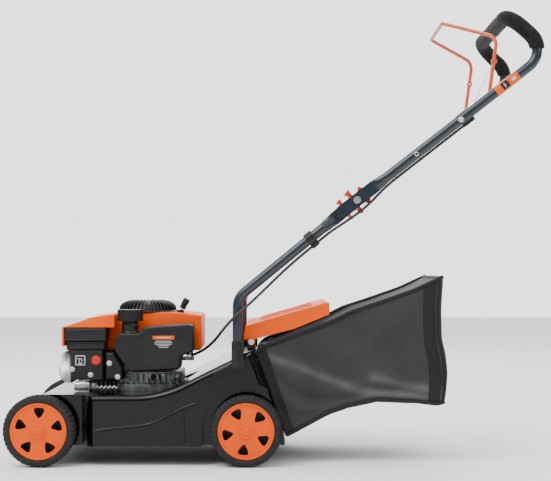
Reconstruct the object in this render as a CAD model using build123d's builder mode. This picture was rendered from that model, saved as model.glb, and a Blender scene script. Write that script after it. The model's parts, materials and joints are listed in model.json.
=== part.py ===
"""Petrol push lawn mower: deck, four wheels, folding handle, rear flap, grass bag and engine.

Millimetres. +Z is up, -X is the front of the mower, -Y is its left side.
The origin is on the ground, under the middle of the whole mower.
"""
import os
from math import atan2, cos, hypot, radians, sin, tan

from build123d import *

os.makedirs("parts", exist_ok=True)

# ---------------------------------------------------------------- driving dimensions
GAP = 0.3                      # clearance between pieces that move past each other
RUNNING = 0.05                 # radial clearance of a running fit
SNUG = 0.02                    # radial clearance of pieces that stay put

# wheels
WHEEL_R = 76.0
WHEEL_WIDTH = 38.0
FRONT_AXLE_X = -499.0
REAR_AXLE_X = -62.0
RIM_R = 60.0
HUB_R = 15.0
RIM_THICK = 5.0
FACE_THICK = 4.0
TYRE_EDGE_R = 5.0
GROOVE_PITCH = 9.0             # grooves round the tyre
GROOVE_WIDE = 1.6
GROOVE_DEEP = 1.5
AXLE_R = 6.0
BOSS_R = 19.0                  # boss over the head of the axle bolt
BOSS_PROUD = 3.0
HEAD_RECESS_R = 10.0
HEAD_RECESS_DEEP = 8.5
WINDOWS = 5                    # tapered windows in each wheel, wide end outward
WINDOW_MID_R = 39.0
WINDOW_WIDE = 25.0
WINDOW_DEEP = 19.0
WINDOW_TAPER = 66              # degrees

# deck
SHEET = 2.2                    # deck plate thickness
DECK_BOTTOM = 42.0
DECK_TOP = 150.0
DECK_FRONT_X = -520.0
DECK_HALF = 205.0
TRACK_OUTER = DECK_HALF + 20                       # middle of the mower to a wheel's outer face
DECK_FRONT_HALF = TRACK_OUTER - WHEEL_WIDTH - 7    # beside the front wheels
DECK_REAR_HALF = TRACK_OUTER - WHEEL_WIDTH - 9     # beside the rear wheels
SHOULDER = 26.0                # rounded front edge
RAMP_START_X = -246.0
RAMP_END = (-50.0, 247.0)      # highest point of the deck, (x, z)
DECK_REAR = (20.0, 57.0)       # foot of the sloping rear face, (x, z)
ARCH_R = 94.0                  # rear wheel arch
RAMP_SWEEP_R = 240.0           # sweep at the foot of the ramp
EDGE_R = 22.0                  # the deck's other rounded corners
CREST_R = 12.0                 # rounded edge along the top of each side
CHUTE_HALF = 120.0             # opening in the rear face
CHUTE_LENGTH = 140.0
ENGINE_SEAT_R = 117.0          # level round seat for the engine
NECK_CLEAR = 10.0              # front tyre to the narrow part of the deck
NECK_RUN = 26.0                # length over which the deck widens
ARCH_LIP = 6.0                 # rolled lip round the arch
LIP_THICK = 2.4
SHAFT_HOLE_R = 32.0
MOUNT_BOLT_PCD = 150.0
MOUNT_HOLE_R = 4.1
MOUNT_BOLT_R = 4.0
EAR_Y = DECK_HALF - 55         # ears that carry the flap's rod
EAR_THICK = 3.0
EAR_R = 9.0

# engine and blade
CRANK_X = -290.0
SHAFT_R = 12.0
BLADE_LENGTH = 390.0
BLADE_Z = 68.0
COWL_FRONT_X = -466.0
COWL_REAR_X = -166.0
COWL_LEFT_Y = -66.0
COWL_RIGHT_Y = 112.0
COWL_BOTTOM = 237.0
COWL_TOP = 322.0
COWL_WALL = 2.5
DOME_R = 66.0
DOME_TOP = 348.0
FLYWHEEL_R = 58.0
FILTER_LEFT_Y = -118.0

# handle
TUBE_R = 11.0
TUBE_WALL = 1.5
HANDLE_Y = DECK_HALF - 9       # centre of each leg
TUBE_FOOT = (-80.0, 244.6)     # lower end of the lower tube, (x, z)
TUBE_BEND = (-80.0, 357.0)
FOLD = (173.0, 564.0)          # fold bolt, (x, z)
ELBOW = (579.9, 880.2)         # where the two straight lines of a leg would meet
CROSSBAR = (494.0, 959.0)
FLAT_THICK = 5.0               # pressed end of a tube
FLAT_WIDE = 28.0
FOLD_BOLT_R = 3.0
BRACKET_BOLT_Z = 253.0
BRACKET_LOW_BOLT_Z = 221.0
GRIP_R = 16.5
GRIP_LOW_Z = 886.0
KNOB_DEEP = 20.0
KNOB_CORE_R = 14.0
KNOB_LOBES = 5
LOBE_REACH = 29.0              # knob's axis to the end of a lobe
LOBE_DEEP = 17.0
LOBE_WIDE = 15.0
LOBE_TAPER = 72                # degrees

# bail
WIRE_R = 4.0
BAIL_Y = HANDLE_Y - 22
BAIL_PIVOT = (456.0, 783.0)
BAIL_SHOULDER = (474.0, 914.0)
BAIL_BAR = (366.0, 957.0)
BAIL_BAR_HALF = HANDLE_Y - 94

# rear flap and bag
FLAP_FRONT = (-64.7, 296.0)
FLAP_ANGLE = radians(16.1)
FLAP_LENGTH = 188.0
FLAP_HALF = DECK_HALF - 40
FLAP_WALL = 3.0
FLAP_ROD = (-52.0, 262.0)
ROD_R = 3.0
BAG_HALF = DECK_HALF - 37
BAG_WALL = 2.5

# control cable
CABLE_R = 3.0
WIRE_CABLE_R = 1.0


def save(piece, name):
    """Write one piece to its own file."""
    piece.part.label = name
    export_step(piece.part, f"parts/{name}.step")


def side_plane(y):
    """A plane across the mower at y, whose sketch x and y are the mower's X and Z."""
    return Plane(origin=(0, y, 0), x_dir=(1, 0, 0), z_dir=(0, -1, 0))


# ---------------------------------------------------------------- deck
def rear_face_x(z):
    """X of the sloping rear face at height z."""
    share = (RAMP_END[1] - z) / (RAMP_END[1] - DECK_REAR[1])
    return RAMP_END[0] + share * (DECK_REAR[0] - RAMP_END[0])


def deck_block(inset, drop):
    """The deck's outer form, made smaller all round by inset, and lower at its foot by drop."""
    front = DECK_FRONT_X + inset
    foot = DECK_BOTTOM - drop
    top = DECK_TOP - inset
    lean = inset / sin(atan2(RAMP_END[1] - DECK_REAR[1], DECK_REAR[0] - RAMP_END[0]))
    crest = RAMP_END[1] - inset * 1.25
    foot_x = DECK_REAR[0] - lean
    outline = [
        (front, foot),
        (front, top - SHOULDER),
        (front + SHOULDER * 0.9, top),
        (RAMP_START_X + inset * 0.3, top),
        (RAMP_END[0] - inset * 0.9, crest),
        (foot_x, DECK_REAR[1]),
        (foot_x, foot),
    ]
    half = DECK_HALF - inset
    front_half = DECK_FRONT_HALF - inset
    neck_front = FRONT_AXLE_X + WHEEL_R + NECK_CLEAR + inset
    neck_rear = neck_front + NECK_RUN
    plan = [
        (DECK_FRONT_X - 50, front_half),
        (neck_front, front_half),
        (neck_rear, half),
        (DECK_REAR[0] + 50, half),
        (DECK_REAR[0] + 50, -half),
        (neck_rear, -half),
        (neck_front, -front_half),
        (DECK_FRONT_X - 50, -front_half),
    ]
    well_r = ARCH_R + inset
    well_wall = DECK_REAR_HALF - inset
    with BuildPart() as block:
        with BuildSketch(side_plane(DECK_HALF + 10)) as side:
            Polygon(*outline, align=None)
            upper = side.vertices().filter_by(lambda v: v.Y > DECK_REAR[1] + 20)
            fillet(upper.filter_by(lambda v: abs(v.X - RAMP_START_X) < 5), RAMP_SWEEP_R + inset)
            fillet(upper.filter_by(lambda v: abs(v.X - RAMP_START_X) > 5), EDGE_R - inset)
        extrude(amount=2 * (DECK_HALF + 10))
        with BuildSketch(Plane.XY.offset(-10)):
            Polygon(*plan, align=None)
        extrude(amount=RAMP_END[1] + 40, mode=Mode.INTERSECT)
        crest_edges = block.edges().filter_by(lambda e: e.center().Z > DECK_TOP - SHOULDER - 12)
        long_edges = crest_edges.filter_by(lambda e: abs(abs(e.center().Y) - half) < 1)
        fillet(long_edges.filter_by(lambda e: abs(e.center().Y) > front_half + 2), CREST_R - inset)
        for side_sign in (-1, 1):
            with BuildSketch(side_plane(side_sign * (well_wall + 50) + 50)):
                with Locations((REAR_AXLE_X, WHEEL_R)):
                    Circle(well_r)
                with Locations((REAR_AXLE_X, WHEEL_R - well_r)):
                    Rectangle(2 * well_r, 2 * well_r)
            extrude(amount=100, mode=Mode.SUBTRACT)
        # level seat for the engine, sunk into the foot of the ramp
        with BuildSketch(Plane.XY.offset(top)):
            with Locations((CRANK_X, 0)):
                Circle(ENGINE_SEAT_R + inset)
        extrude(amount=RAMP_END[1], mode=Mode.SUBTRACT)
    return block.part


outer_form = deck_block(0, 0)
inner_form = deck_block(SHEET, 30)
rear_face = Plane(
    origin=(rear_face_x(150), 0, 150),
    x_dir=(0, 1, 0),
    z_dir=(RAMP_END[1] - DECK_REAR[1], 0, DECK_REAR[0] - RAMP_END[0]),
)
with BuildPart() as deck:
    add(outer_form)
    add(inner_form, mode=Mode.SUBTRACT)
    for side_sign in (-1, 1):
        # rolled lip round the rear wheel arch
        with BuildSketch(side_plane(side_sign * DECK_HALF + LIP_THICK / 2)):
            with Locations((REAR_AXLE_X, WHEEL_R)):
                Circle(ARCH_R + ARCH_LIP)
                Circle(ARCH_R, mode=Mode.SUBTRACT)
            with Locations((REAR_AXLE_X, WHEEL_R - ARCH_R)):
                Rectangle(2 * ARCH_R + 20, 2 * ARCH_R, mode=Mode.SUBTRACT)
            with Locations((REAR_AXLE_X + 2 * ARCH_R - 48, WHEEL_R)):
                Rectangle(2 * ARCH_R, 4 * ARCH_R, mode=Mode.SUBTRACT)
        extrude(amount=LIP_THICK)
        # ear that carries the flap's rod
        with BuildSketch(side_plane(side_sign * EAR_Y + EAR_THICK / 2)):
            with Locations(FLAP_ROD):
                Circle(EAR_R)
            with Locations((FLAP_ROD[0], (FLAP_ROD[1] + RAMP_END[1]) / 2 - 8)):
                Rectangle(2 * EAR_R, FLAP_ROD[1] - RAMP_END[1] + 16)
        extrude(amount=EAR_THICK)
    for side_sign in (-1, 1):
        with BuildSketch(side_plane(side_sign * EAR_Y + EAR_THICK)):
            with Locations(FLAP_ROD):
                Circle(ROD_R + SNUG)
        extrude(amount=2 * EAR_THICK, mode=Mode.SUBTRACT)
    with BuildSketch(rear_face.offset(-6)):
        RectangleRounded(2 * CHUTE_HALF, CHUTE_LENGTH, 14)
    extrude(amount=12, mode=Mode.SUBTRACT)
    # shaft opening, engine bolt holes and axle bolt holes
    with BuildSketch(Plane.XY.offset(DECK_TOP + 1)):
        with Locations((CRANK_X, 0)):
            Circle(SHAFT_HOLE_R)
            with PolarLocations(MOUNT_BOLT_PCD / 2, 3):
                Circle(MOUNT_HOLE_R)
    extrude(amount=-10, mode=Mode.SUBTRACT)
    for axle_x in (FRONT_AXLE_X, REAR_AXLE_X):
        with BuildSketch(side_plane(DECK_HALF + 10)):
            with Locations((axle_x, WHEEL_R)):
                Circle(AXLE_R + SNUG)
        extrude(amount=2 * (DECK_HALF + 10), mode=Mode.SUBTRACT)
    with BuildSketch(side_plane(DECK_HALF + 10)):
        with Locations((TUBE_FOOT[0], BRACKET_LOW_BOLT_Z)):
            Circle(FOLD_BOLT_R + SNUG)
    extrude(amount=2 * (DECK_HALF + 10), mode=Mode.SUBTRACT)
save(deck, "deck")


# ---------------------------------------------------------------- wheels
def wheel_pieces(axle_x, side_sign, window_turn):
    """One tyre and one moulded wheel, with five windows, round an axle bolt."""
    mid_y = side_sign * (TRACK_OUTER - WHEEL_WIDTH / 2)
    half = WHEEL_WIDTH / 2
    hub_axis = Axis((axle_x, mid_y, WHEEL_R), (0, 1, 0))
    cross = Plane(origin=(axle_x, mid_y, WHEEL_R), x_dir=(0, side_sign, 0), z_dir=(1, 0, 0))
    with BuildPart() as tyre:
        with BuildSketch(cross):
            with Locations((0, (WHEEL_R + RIM_R) / 2)):
                RectangleRounded(WHEEL_WIDTH - 1, WHEEL_R - RIM_R, TYRE_EDGE_R)
            for groove_x in (-GROOVE_PITCH, 0, GROOVE_PITCH):
                with Locations((groove_x, WHEEL_R)):
                    Rectangle(GROOVE_WIDE, 2 * GROOVE_DEEP, mode=Mode.SUBTRACT)
        revolve(axis=hub_axis)
    with BuildPart() as wheel:
        with BuildSketch(cross):
            with Locations((0, RIM_R - RIM_THICK / 2 - SNUG)):
                Rectangle(WHEEL_WIDTH - 3, RIM_THICK)
            with Locations((half - FACE_THICK - 2, (RIM_R + HUB_R) / 2 - 2)):
                Rectangle(FACE_THICK, RIM_R - HUB_R + 2)
            with Locations((0.5, (HUB_R + AXLE_R + RUNNING) / 2)):
                Rectangle(WHEEL_WIDTH - 2.4, HUB_R - AXLE_R - RUNNING)
        revolve(axis=hub_axis)
        # boss over the bolt head
        with BuildSketch(side_plane(mid_y + side_sign * (half - BOSS_PROUD))):
            with Locations((axle_x, WHEEL_R)):
                Circle(BOSS_R)
        extrude(amount=-side_sign * BOSS_PROUD)
        with BuildSketch(side_plane(mid_y + side_sign * (half - 10))):
            with Locations((axle_x, WHEEL_R)):
                Circle(HEAD_RECESS_R)
        extrude(amount=-side_sign * HEAD_RECESS_DEEP, mode=Mode.SUBTRACT)
        with BuildSketch(side_plane(mid_y)):
            with Locations((axle_x, WHEEL_R)):
                with PolarLocations(WINDOW_MID_R, WINDOWS, window_turn):
                    Trapezoid(WINDOW_WIDE, WINDOW_DEEP, WINDOW_TAPER, rotation=90)
        extrude(amount=-side_sign * WHEEL_WIDTH, mode=Mode.SUBTRACT)
    return tyre, wheel


CORNERS = {
    "front_left": (FRONT_AXLE_X, -1, 16),
    "front_right": (FRONT_AXLE_X, 1, 40),
    "rear_left": (REAR_AXLE_X, -1, 46),
    "rear_right": (REAR_AXLE_X, 1, 10),
}
for corner, (axle_x, side_sign, window_turn) in CORNERS.items():
    tyre, wheel = wheel_pieces(axle_x, side_sign, window_turn)
    save(tyre, f"tyre_{corner}")
    save(wheel, f"wheel_{corner}")

BOLT_HEAD_R = 9.0
BOLT_HEAD_THICK = 4.0
NUT_R = 10.0
BOLT_TAIL = 10.0               # length inside the deck wall
HEAD_SUNK = 6.5                # head's seat in from the wheel's outer face
with BuildPart() as wheel_axle_bolts:
    for axle_x, side_sign, _ in CORNERS.values():
        wall = DECK_FRONT_HALF if axle_x == FRONT_AXLE_X else DECK_REAR_HALF
        inner = wall - SHEET - BOLT_TAIL
        head = TRACK_OUTER - HEAD_SUNK
        with BuildSketch(side_plane(side_sign * inner)):
            with Locations((axle_x, WHEEL_R)):
                Circle(AXLE_R)
        extrude(amount=-side_sign * (head - inner))
        with BuildSketch(side_plane(side_sign * head)):
            with Locations((axle_x, WHEEL_R)):
                Circle(BOLT_HEAD_R)
        extrude(amount=-side_sign * BOLT_HEAD_THICK)
        for seat, thick in ((wall - SHEET - SNUG, -6), (wall + SNUG, 5)):
            with BuildSketch(side_plane(side_sign * seat)):
                with Locations((axle_x, WHEEL_R)):
                    RegularPolygon(NUT_R, 6)
            extrude(amount=-side_sign * thick)
save(wheel_axle_bolts, "wheel_axle_bolts")


# ---------------------------------------------------------------- handle
def bent_tube(points, bends, outer, bore=0.0):
    """A round tube or wire along straight runs joined by arcs."""
    with BuildPart() as tube:
        with BuildLine() as route:
            if bends:
                FilletPolyline(*points, radius=bends)
            else:
                Polyline(*points)
        wire = route.wire()
        with BuildSketch(Plane(origin=wire @ 0, z_dir=wire % 0)):
            Circle(outer)
            if bore:
                Circle(bore, mode=Mode.SUBTRACT)
        sweep(path=wire)
    return tube.part


def along(start, angle, distance):
    """The (x, z) point at a distance from start, at an angle in the side plane."""
    return start[0] + distance * cos(angle), start[1] + distance * sin(angle)


def pressed_end(side_sign, seat_y, round_at, flat_from, flat_to, angle):
    """The end of a leg pressed flat: a loft from round to flat, and the flat with a bolt hole."""
    y_round = side_sign * HANDLE_Y
    way = 1 if flat_from > round_at else -1
    start = along(FOLD, angle, round_at)
    begin = along(FOLD, angle, flat_from)
    end = along(FOLD, angle, flat_to)
    normal = (way * cos(angle), 0, way * sin(angle))
    with BuildPart() as piece:
        with BuildSketch(Plane(origin=(start[0], y_round, start[1]), x_dir=(0, 1, 0), z_dir=normal)):
            Circle(TUBE_R)
        with BuildSketch(Plane(origin=(begin[0], seat_y, begin[1]), x_dir=(0, 1, 0), z_dir=normal)):
            RectangleRounded(FLAT_THICK, FLAT_WIDE, FLAT_THICK / 2.2)
        loft()
        with BuildSketch(side_plane(seat_y + FLAT_THICK / 2)):
            with BuildLine():
                Line(begin, end)
            trace(line_width=FLAT_WIDE)
            with Locations(end):
                Circle(FLAT_WIDE / 2)
        extrude(amount=FLAT_THICK)
        with BuildSketch(side_plane(seat_y + FLAT_THICK)):
            with Locations(FOLD):
                Circle(FOLD_BOLT_R + RUNNING)
        extrude(amount=2 * FLAT_THICK, mode=Mode.SUBTRACT)
    return piece.part


UPPER_SEAT = HANDLE_Y + 3.0                       # middle of the upper handle's flat
LOWER_SEAT = UPPER_SEAT - FLAT_THICK - GAP        # middle of the lower tube's flat
LOWER_ANGLE = atan2(FOLD[1] - TUBE_BEND[1], FOLD[0] - TUBE_BEND[0])
UPPER_ANGLE = atan2(ELBOW[1] - FOLD[1], ELBOW[0] - FOLD[0])
# distances along each leg from the fold bolt: end of the round tube, start of the flat, end of the flat
LOWER_ROUND = -92.0
LOWER_FLAT = -62.0
LOWER_TIP = 8.0
UPPER_ROUND = 78.0
UPPER_FLAT = 46.0
UPPER_TIP = -40.0
LOWER_BEND_R = 38.0
for side, side_sign in (("left", -1), ("right", 1)):
    stop = along(FOLD, LOWER_ANGLE, LOWER_ROUND)
    leg_y = side_sign * HANDLE_Y
    leg = bent_tube(
        [(TUBE_FOOT[0], leg_y, TUBE_FOOT[1]), (TUBE_BEND[0], leg_y, TUBE_BEND[1]), (stop[0], leg_y, stop[1])],
        LOWER_BEND_R,
        TUBE_R,
        TUBE_R - TUBE_WALL,
    )
    pressed = pressed_end(side_sign, side_sign * LOWER_SEAT, LOWER_ROUND, LOWER_FLAT, LOWER_TIP, LOWER_ANGLE)
    with BuildPart() as lower_handle:
        add(leg)
        add(pressed)
        with BuildSketch(side_plane(leg_y + TUBE_R + 5)):
            with Locations((TUBE_FOOT[0], BRACKET_BOLT_Z)):
                Circle(FOLD_BOLT_R + SNUG)
        extrude(amount=2 * TUBE_R + 10, mode=Mode.SUBTRACT)
    save(lower_handle, f"lower_handle_{side}")

upper_start = along(FOLD, UPPER_ANGLE, UPPER_ROUND)
HANDLE_POINTS = [
    (upper_start[0], -HANDLE_Y, upper_start[1]),
    (ELBOW[0], -HANDLE_Y, ELBOW[1]),
    (CROSSBAR[0], -HANDLE_Y, CROSSBAR[1]),
    (CROSSBAR[0], HANDLE_Y, CROSSBAR[1]),
    (ELBOW[0], HANDLE_Y, ELBOW[1]),
    (upper_start[0], HANDLE_Y, upper_start[1]),
]
HANDLE_BENDS = [45, 50, 50, 45]
handle_tube = bent_tube(HANDLE_POINTS, HANDLE_BENDS, TUBE_R, TUBE_R - TUBE_WALL)
with BuildPart() as upper_handle:
    add(handle_tube)
    for side_sign in (-1, 1):
        add(pressed_end(side_sign, side_sign * UPPER_SEAT, UPPER_ROUND, UPPER_FLAT, UPPER_TIP, UPPER_ANGLE))
        with BuildSketch(side_plane(side_sign * (HANDLE_Y - 4))):
            with Locations(BAIL_PIVOT):
                Circle(WIRE_R + RUNNING)
        extrude(amount=side_sign * TUBE_R, mode=Mode.SUBTRACT)
save(upper_handle, "upper_handle")

grip_sleeve = bent_tube(HANDLE_POINTS, HANDLE_BENDS, GRIP_R, TUBE_R + SNUG)
with BuildPart() as foam_grip:
    add(grip_sleeve)
    split(bisect_by=Plane.XY.offset(GRIP_LOW_Z), keep=Keep.TOP)
save(foam_grip, "foam_grip")

PLATE = 3.0
BRACKET_HALF = 13.0
BRACKET_BOTTOM = 208.0
BRACKET_TOP = 264.0
BRACKET_OUTER_Y = HANDLE_Y + TUBE_R + GAP
BRACKET_INNER_Y = HANDLE_Y - TUBE_R - GAP - PLATE
with BuildPart() as handle_brackets:
    for side_sign in (-1, 1):
        foot_z = TUBE_FOOT[1] - PLATE - SNUG
        cross = Plane(
            origin=(TUBE_FOOT[0] - BRACKET_HALF, 0, 0), x_dir=(0, side_sign, 0), z_dir=(side_sign, 0, 0)
        )
        with BuildSketch(cross):
            for low_y, low_z in ((BRACKET_OUTER_Y, BRACKET_BOTTOM), (BRACKET_INNER_Y, foot_z)):
                with Locations((low_y, low_z)):
                    Rectangle(PLATE, BRACKET_TOP - low_z, align=(Align.MIN, Align.MIN))
            with Locations((BRACKET_INNER_Y, foot_z)):
                Rectangle(BRACKET_OUTER_Y - BRACKET_INNER_Y + PLATE, PLATE, align=(Align.MIN, Align.MIN))
        extrude(amount=side_sign * 2 * BRACKET_HALF)
    with BuildSketch(side_plane(BRACKET_OUTER_Y + 10)):
        with Locations((TUBE_FOOT[0], BRACKET_BOLT_Z), (TUBE_FOOT[0], BRACKET_LOW_BOLT_Z)):
            Circle(FOLD_BOLT_R + SNUG)
    extrude(amount=2 * (BRACKET_OUTER_Y + 10), mode=Mode.SUBTRACT)
save(handle_brackets, "handle_brackets")

FOLD_HEAD_R = 8.0
BRACKET_HEAD_R = 6.5
HEAD_THICK = 4.0
with BuildPart() as handle_bolts:
    for side_sign in (-1, 1):
        head = side_sign * (UPPER_SEAT + FLAT_THICK / 2 + GAP)
        tail = side_sign * (LOWER_SEAT - FLAT_THICK / 2 - GAP - KNOB_DEEP + 4)
        outside = side_sign * (BRACKET_OUTER_Y + PLATE + SNUG)
        inside = side_sign * (BRACKET_INNER_Y - 5)
        for place, near, far, head_r in (
            (FOLD, head, tail, FOLD_HEAD_R),
            ((TUBE_FOOT[0], BRACKET_BOLT_Z), outside, inside, BRACKET_HEAD_R),
        ):
            with BuildSketch(side_plane(near)):
                with Locations(place):
                    Circle(FOLD_BOLT_R)
            extrude(amount=near - far)
            with BuildSketch(side_plane(near)):
                with Locations(place):
                    Circle(head_r)
            extrude(amount=-side_sign * HEAD_THICK)
        with BuildSketch(side_plane(side_sign * (BRACKET_INNER_Y - SNUG))):
            with Locations((TUBE_FOOT[0], BRACKET_BOLT_Z)):
                RegularPolygon(6, 6)
        extrude(amount=side_sign * 4)
        # lower fixing of the bracket, through the deck wall
        low_z = BRACKET_LOW_BOLT_Z
        with BuildSketch(side_plane(outside)):
            with Locations((TUBE_FOOT[0], low_z)):
                Circle(FOLD_BOLT_R)
        extrude(amount=side_sign * 18)
        with BuildSketch(side_plane(outside)):
            with Locations((TUBE_FOOT[0], low_z)):
                Circle(BRACKET_HEAD_R)
        extrude(amount=-side_sign * HEAD_THICK)
save(handle_bolts, "handle_bolts")

for side, side_sign in (("left", -1), ("right", 1)):
    seat = side_sign * (LOWER_SEAT - FLAT_THICK / 2 - GAP)
    with BuildPart() as knob:
        with BuildSketch(side_plane(seat)):
            with Locations(FOLD):
                Circle(KNOB_CORE_R)
                with PolarLocations(LOBE_REACH - LOBE_DEEP / 2, KNOB_LOBES):
                    Trapezoid(LOBE_WIDE, LOBE_DEEP, LOBE_TAPER, rotation=90)
        extrude(amount=side_sign * KNOB_DEEP)
        fillet(knob.edges().filter_by(Axis.Y), 1.6)
        fillet(knob.faces().sort_by(Axis.Y)[-1 if side_sign < 0 else 0].edges(), 1.2)
        with BuildSketch(side_plane(seat)):
            with Locations(FOLD):
                Circle(FOLD_BOLT_R + RUNNING)
        extrude(amount=side_sign * (KNOB_DEEP - 3), mode=Mode.SUBTRACT)
    save(knob, f"knob_{side}")

bail_wire = bent_tube(
    [
        (BAIL_PIVOT[0], -HANDLE_Y + 3, BAIL_PIVOT[1]),
        (BAIL_PIVOT[0], -BAIL_Y, BAIL_PIVOT[1]),
        (BAIL_SHOULDER[0], -BAIL_Y, BAIL_SHOULDER[1]),
        (BAIL_BAR[0], -BAIL_BAR_HALF, BAIL_BAR[1]),
        (BAIL_BAR[0], BAIL_BAR_HALF, BAIL_BAR[1]),
        (BAIL_SHOULDER[0], BAIL_Y, BAIL_SHOULDER[1]),
        (BAIL_PIVOT[0], BAIL_Y, BAIL_PIVOT[1]),
        (BAIL_PIVOT[0], HANDLE_Y - 3, BAIL_PIVOT[1]),
    ],
    [6, 24, 10, 10, 24, 6],
    WIRE_R,
)
EYELET = (467.6, 863.0)
EYELET_R = 6.5
EYELET_HOLE_R = 2.0
EYELET_THICK = 4.0
with BuildPart() as bail:
    add(bail_wire)
    for side_sign in (-1, 1):
        with BuildSketch(side_plane(side_sign * BAIL_Y + EYELET_THICK / 2)):
            with Locations(EYELET):
                Circle(EYELET_R)
        extrude(amount=EYELET_THICK)
        with BuildSketch(side_plane(side_sign * BAIL_Y + 10)):
            with Locations(EYELET):
                Circle(EYELET_HOLE_R)
        extrude(amount=20, mode=Mode.SUBTRACT)
save(bail, "bail")

# ---------------------------------------------------------------- rear flap
FLAP_OUTLINE = [
    FLAP_FRONT,
    along(FLAP_FRONT, FLAP_ANGLE, FLAP_LENGTH),
    (116.5, 320.6),
    (39.4, 289.3),
    (-42.6, 268.0),
    (-68.8, 266.4),
]
with BuildPart() as rear_flap:
    with BuildSketch(side_plane(FLAP_HALF)) as flap_side:
        Polygon(*FLAP_OUTLINE, align=None)
        fillet(flap_side.vertices().sort_by(Axis.Y)[-1], 5)
        fillet(flap_side.vertices().sort_by(Axis.X)[1], 5)
    extrude(amount=2 * FLAP_HALF)
    fillet(rear_flap.faces().sort_by(Axis.Y)[0].edges().sort_by(SortBy.LENGTH)[-1], 5)
    fillet(rear_flap.faces().sort_by(Axis.Y)[-1].edges().sort_by(SortBy.LENGTH)[-1], 5)
    with BuildSketch(side_plane(FLAP_HALF - FLAP_WALL)):
        Polygon(*FLAP_OUTLINE, align=None)
        offset(amount=-FLAP_WALL, kind=Kind.INTERSECTION)
        with BuildLine():
            Polyline((-60, 274), (34, 300), (110, 331), (112, 300), (40, 270), (-60, 240), close=True)
        make_face()
    extrude(amount=2 * (FLAP_HALF - FLAP_WALL), mode=Mode.SUBTRACT)
    for side_sign in (-1, 1):
        with BuildSketch(side_plane(side_sign * (FLAP_HALF - FLAP_WALL / 2) + FLAP_WALL / 2)):
            with Locations(FLAP_ROD):
                Circle(ROD_R + 5)
            with Locations((FLAP_ROD[0], FLAP_ROD[1] + 10)):
                Rectangle(2 * (ROD_R + 5), 20)
        extrude(amount=FLAP_WALL)
        with BuildSketch(side_plane(side_sign * FLAP_HALF + 10)):
            with Locations(FLAP_ROD):
                Circle(ROD_R + RUNNING)
        extrude(amount=20, mode=Mode.SUBTRACT)
save(rear_flap, "rear_flap")

with BuildPart() as flap_rod:
    with BuildSketch(side_plane(FLAP_HALF + 4)):
        with Locations(FLAP_ROD):
            Circle(ROD_R)
    extrude(amount=2 * (FLAP_HALF + 4))
    for side_sign in (-1, 1):
        with BuildSketch(side_plane(side_sign * (FLAP_HALF + 4) + 1)):
            with Locations(FLAP_ROD):
                Circle(ROD_R + 3)
        extrude(amount=2)
save(flap_rod, "flap_rod")

SPRING_R = ROD_R + 2.6
SPRING_WIRE = 0.9
SPRING_Y = EAR_Y - 30
SPRING_LONG = 28.0
SPRING_ARM = 24.0
with BuildPart() as flap_springs:
    for side_sign in (-1, 1):
        # the coil as one sleeve, and the arm that presses on the flap
        with BuildSketch(side_plane(side_sign * SPRING_Y + SPRING_LONG / 2)):
            with Locations(FLAP_ROD):
                Circle(SPRING_R + SPRING_WIRE)
                Circle(SPRING_R - SPRING_WIRE, mode=Mode.SUBTRACT)
        extrude(amount=SPRING_LONG)
        with BuildSketch(side_plane(side_sign * SPRING_Y + SPRING_LONG / 2)):
            with Locations((FLAP_ROD[0] + 8, FLAP_ROD[1] + SPRING_R)):
                Rectangle(SPRING_ARM, 2 * SPRING_WIRE)
        extrude(amount=2 * SPRING_WIRE)
save(flap_springs, "flap_springs")

# ---------------------------------------------------------------- grass bag
BAG_FACE = 3.0                     # the bag's mouth stands this far behind the deck's rear face
BAG_OUTLINE = [
    (rear_face_x(58) + BAG_FACE, 58.0),
    (rear_face_x(236) + BAG_FACE, 236.0),
    (-26.0, 252.0),
    (113.0, 302.0),
    (160.0, 327.0),
    (225.0, 348.0),
    (297.0, 373.0),
    (361.0, 403.0),
    (356.0, 350.0),
    (356.0, 274.0),
    (366.0, 236.0),
    (371.0, 195.0),
    (365.0, 138.0),
    (350.0, 127.0),
    (300.0, 134.0),
    (220.0, 138.0),
    (157.0, 124.0),
    (117.0, 110.0),
    (40.0, 68.0),
]


def bag_form(inset, mouth):
    """The bag as one soft form; inset shrinks it, mouth carries the form out past its front."""
    with BuildPart() as form:
        with BuildSketch(side_plane(BAG_HALF + 1)):
            Polygon(*BAG_OUTLINE, align=None)
            offset(amount=-inset, kind=Kind.INTERSECTION)
            if mouth:
                with BuildLine():
                    Polyline(
                        (rear_face_x(66) + mouth, 66 + inset),
                        (rear_face_x(232) + mouth, 232 - inset),
                        (rear_face_x(232) - mouth, 232 - inset),
                        (rear_face_x(66) - mouth, 66 + inset),
                        close=True,
                    )
                make_face()
        extrude(amount=2 * (BAG_HALF + 1))
        with BuildSketch(Plane.XY):
            with Locations((150, 0)):
                RectangleRounded(560, 2 * (BAG_HALF - inset), 8)
        extrude(amount=500, mode=Mode.INTERSECT)
    return form.part


bag_outer = bag_form(0, 0)
bag_inner = bag_form(BAG_WALL, 12)
with BuildPart() as grass_bag:
    add(bag_outer)
    add(bag_inner, mode=Mode.SUBTRACT)
save(grass_bag, "grass_bag")

MOUTH_WIRE_R = 2.5
mouth_low, mouth_high = 72.0, 229.0
mouth_shift = BAG_FACE + 8.0
mouth_half = BAG_HALF - BAG_WALL - MOUTH_WIRE_R - 2.0
mouth_points = [
    (rear_face_x(z) + mouth_shift, y, z)
    for y, z in (
        (mouth_half, mouth_low),
        (mouth_half, mouth_high),
        (-mouth_half, mouth_high),
        (-mouth_half, mouth_low),
    )
]
with BuildPart() as bag_frame:
    with BuildLine() as mouth_route:
        FilletPolyline(*mouth_points, radius=12, close=True)
    mouth_wire = mouth_route.wire()
    with BuildSketch(Plane(origin=mouth_wire @ 0, z_dir=mouth_wire % 0)):
        Circle(MOUTH_WIRE_R)
    sweep(path=mouth_wire)
save(bag_frame, "bag_frame")

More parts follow.
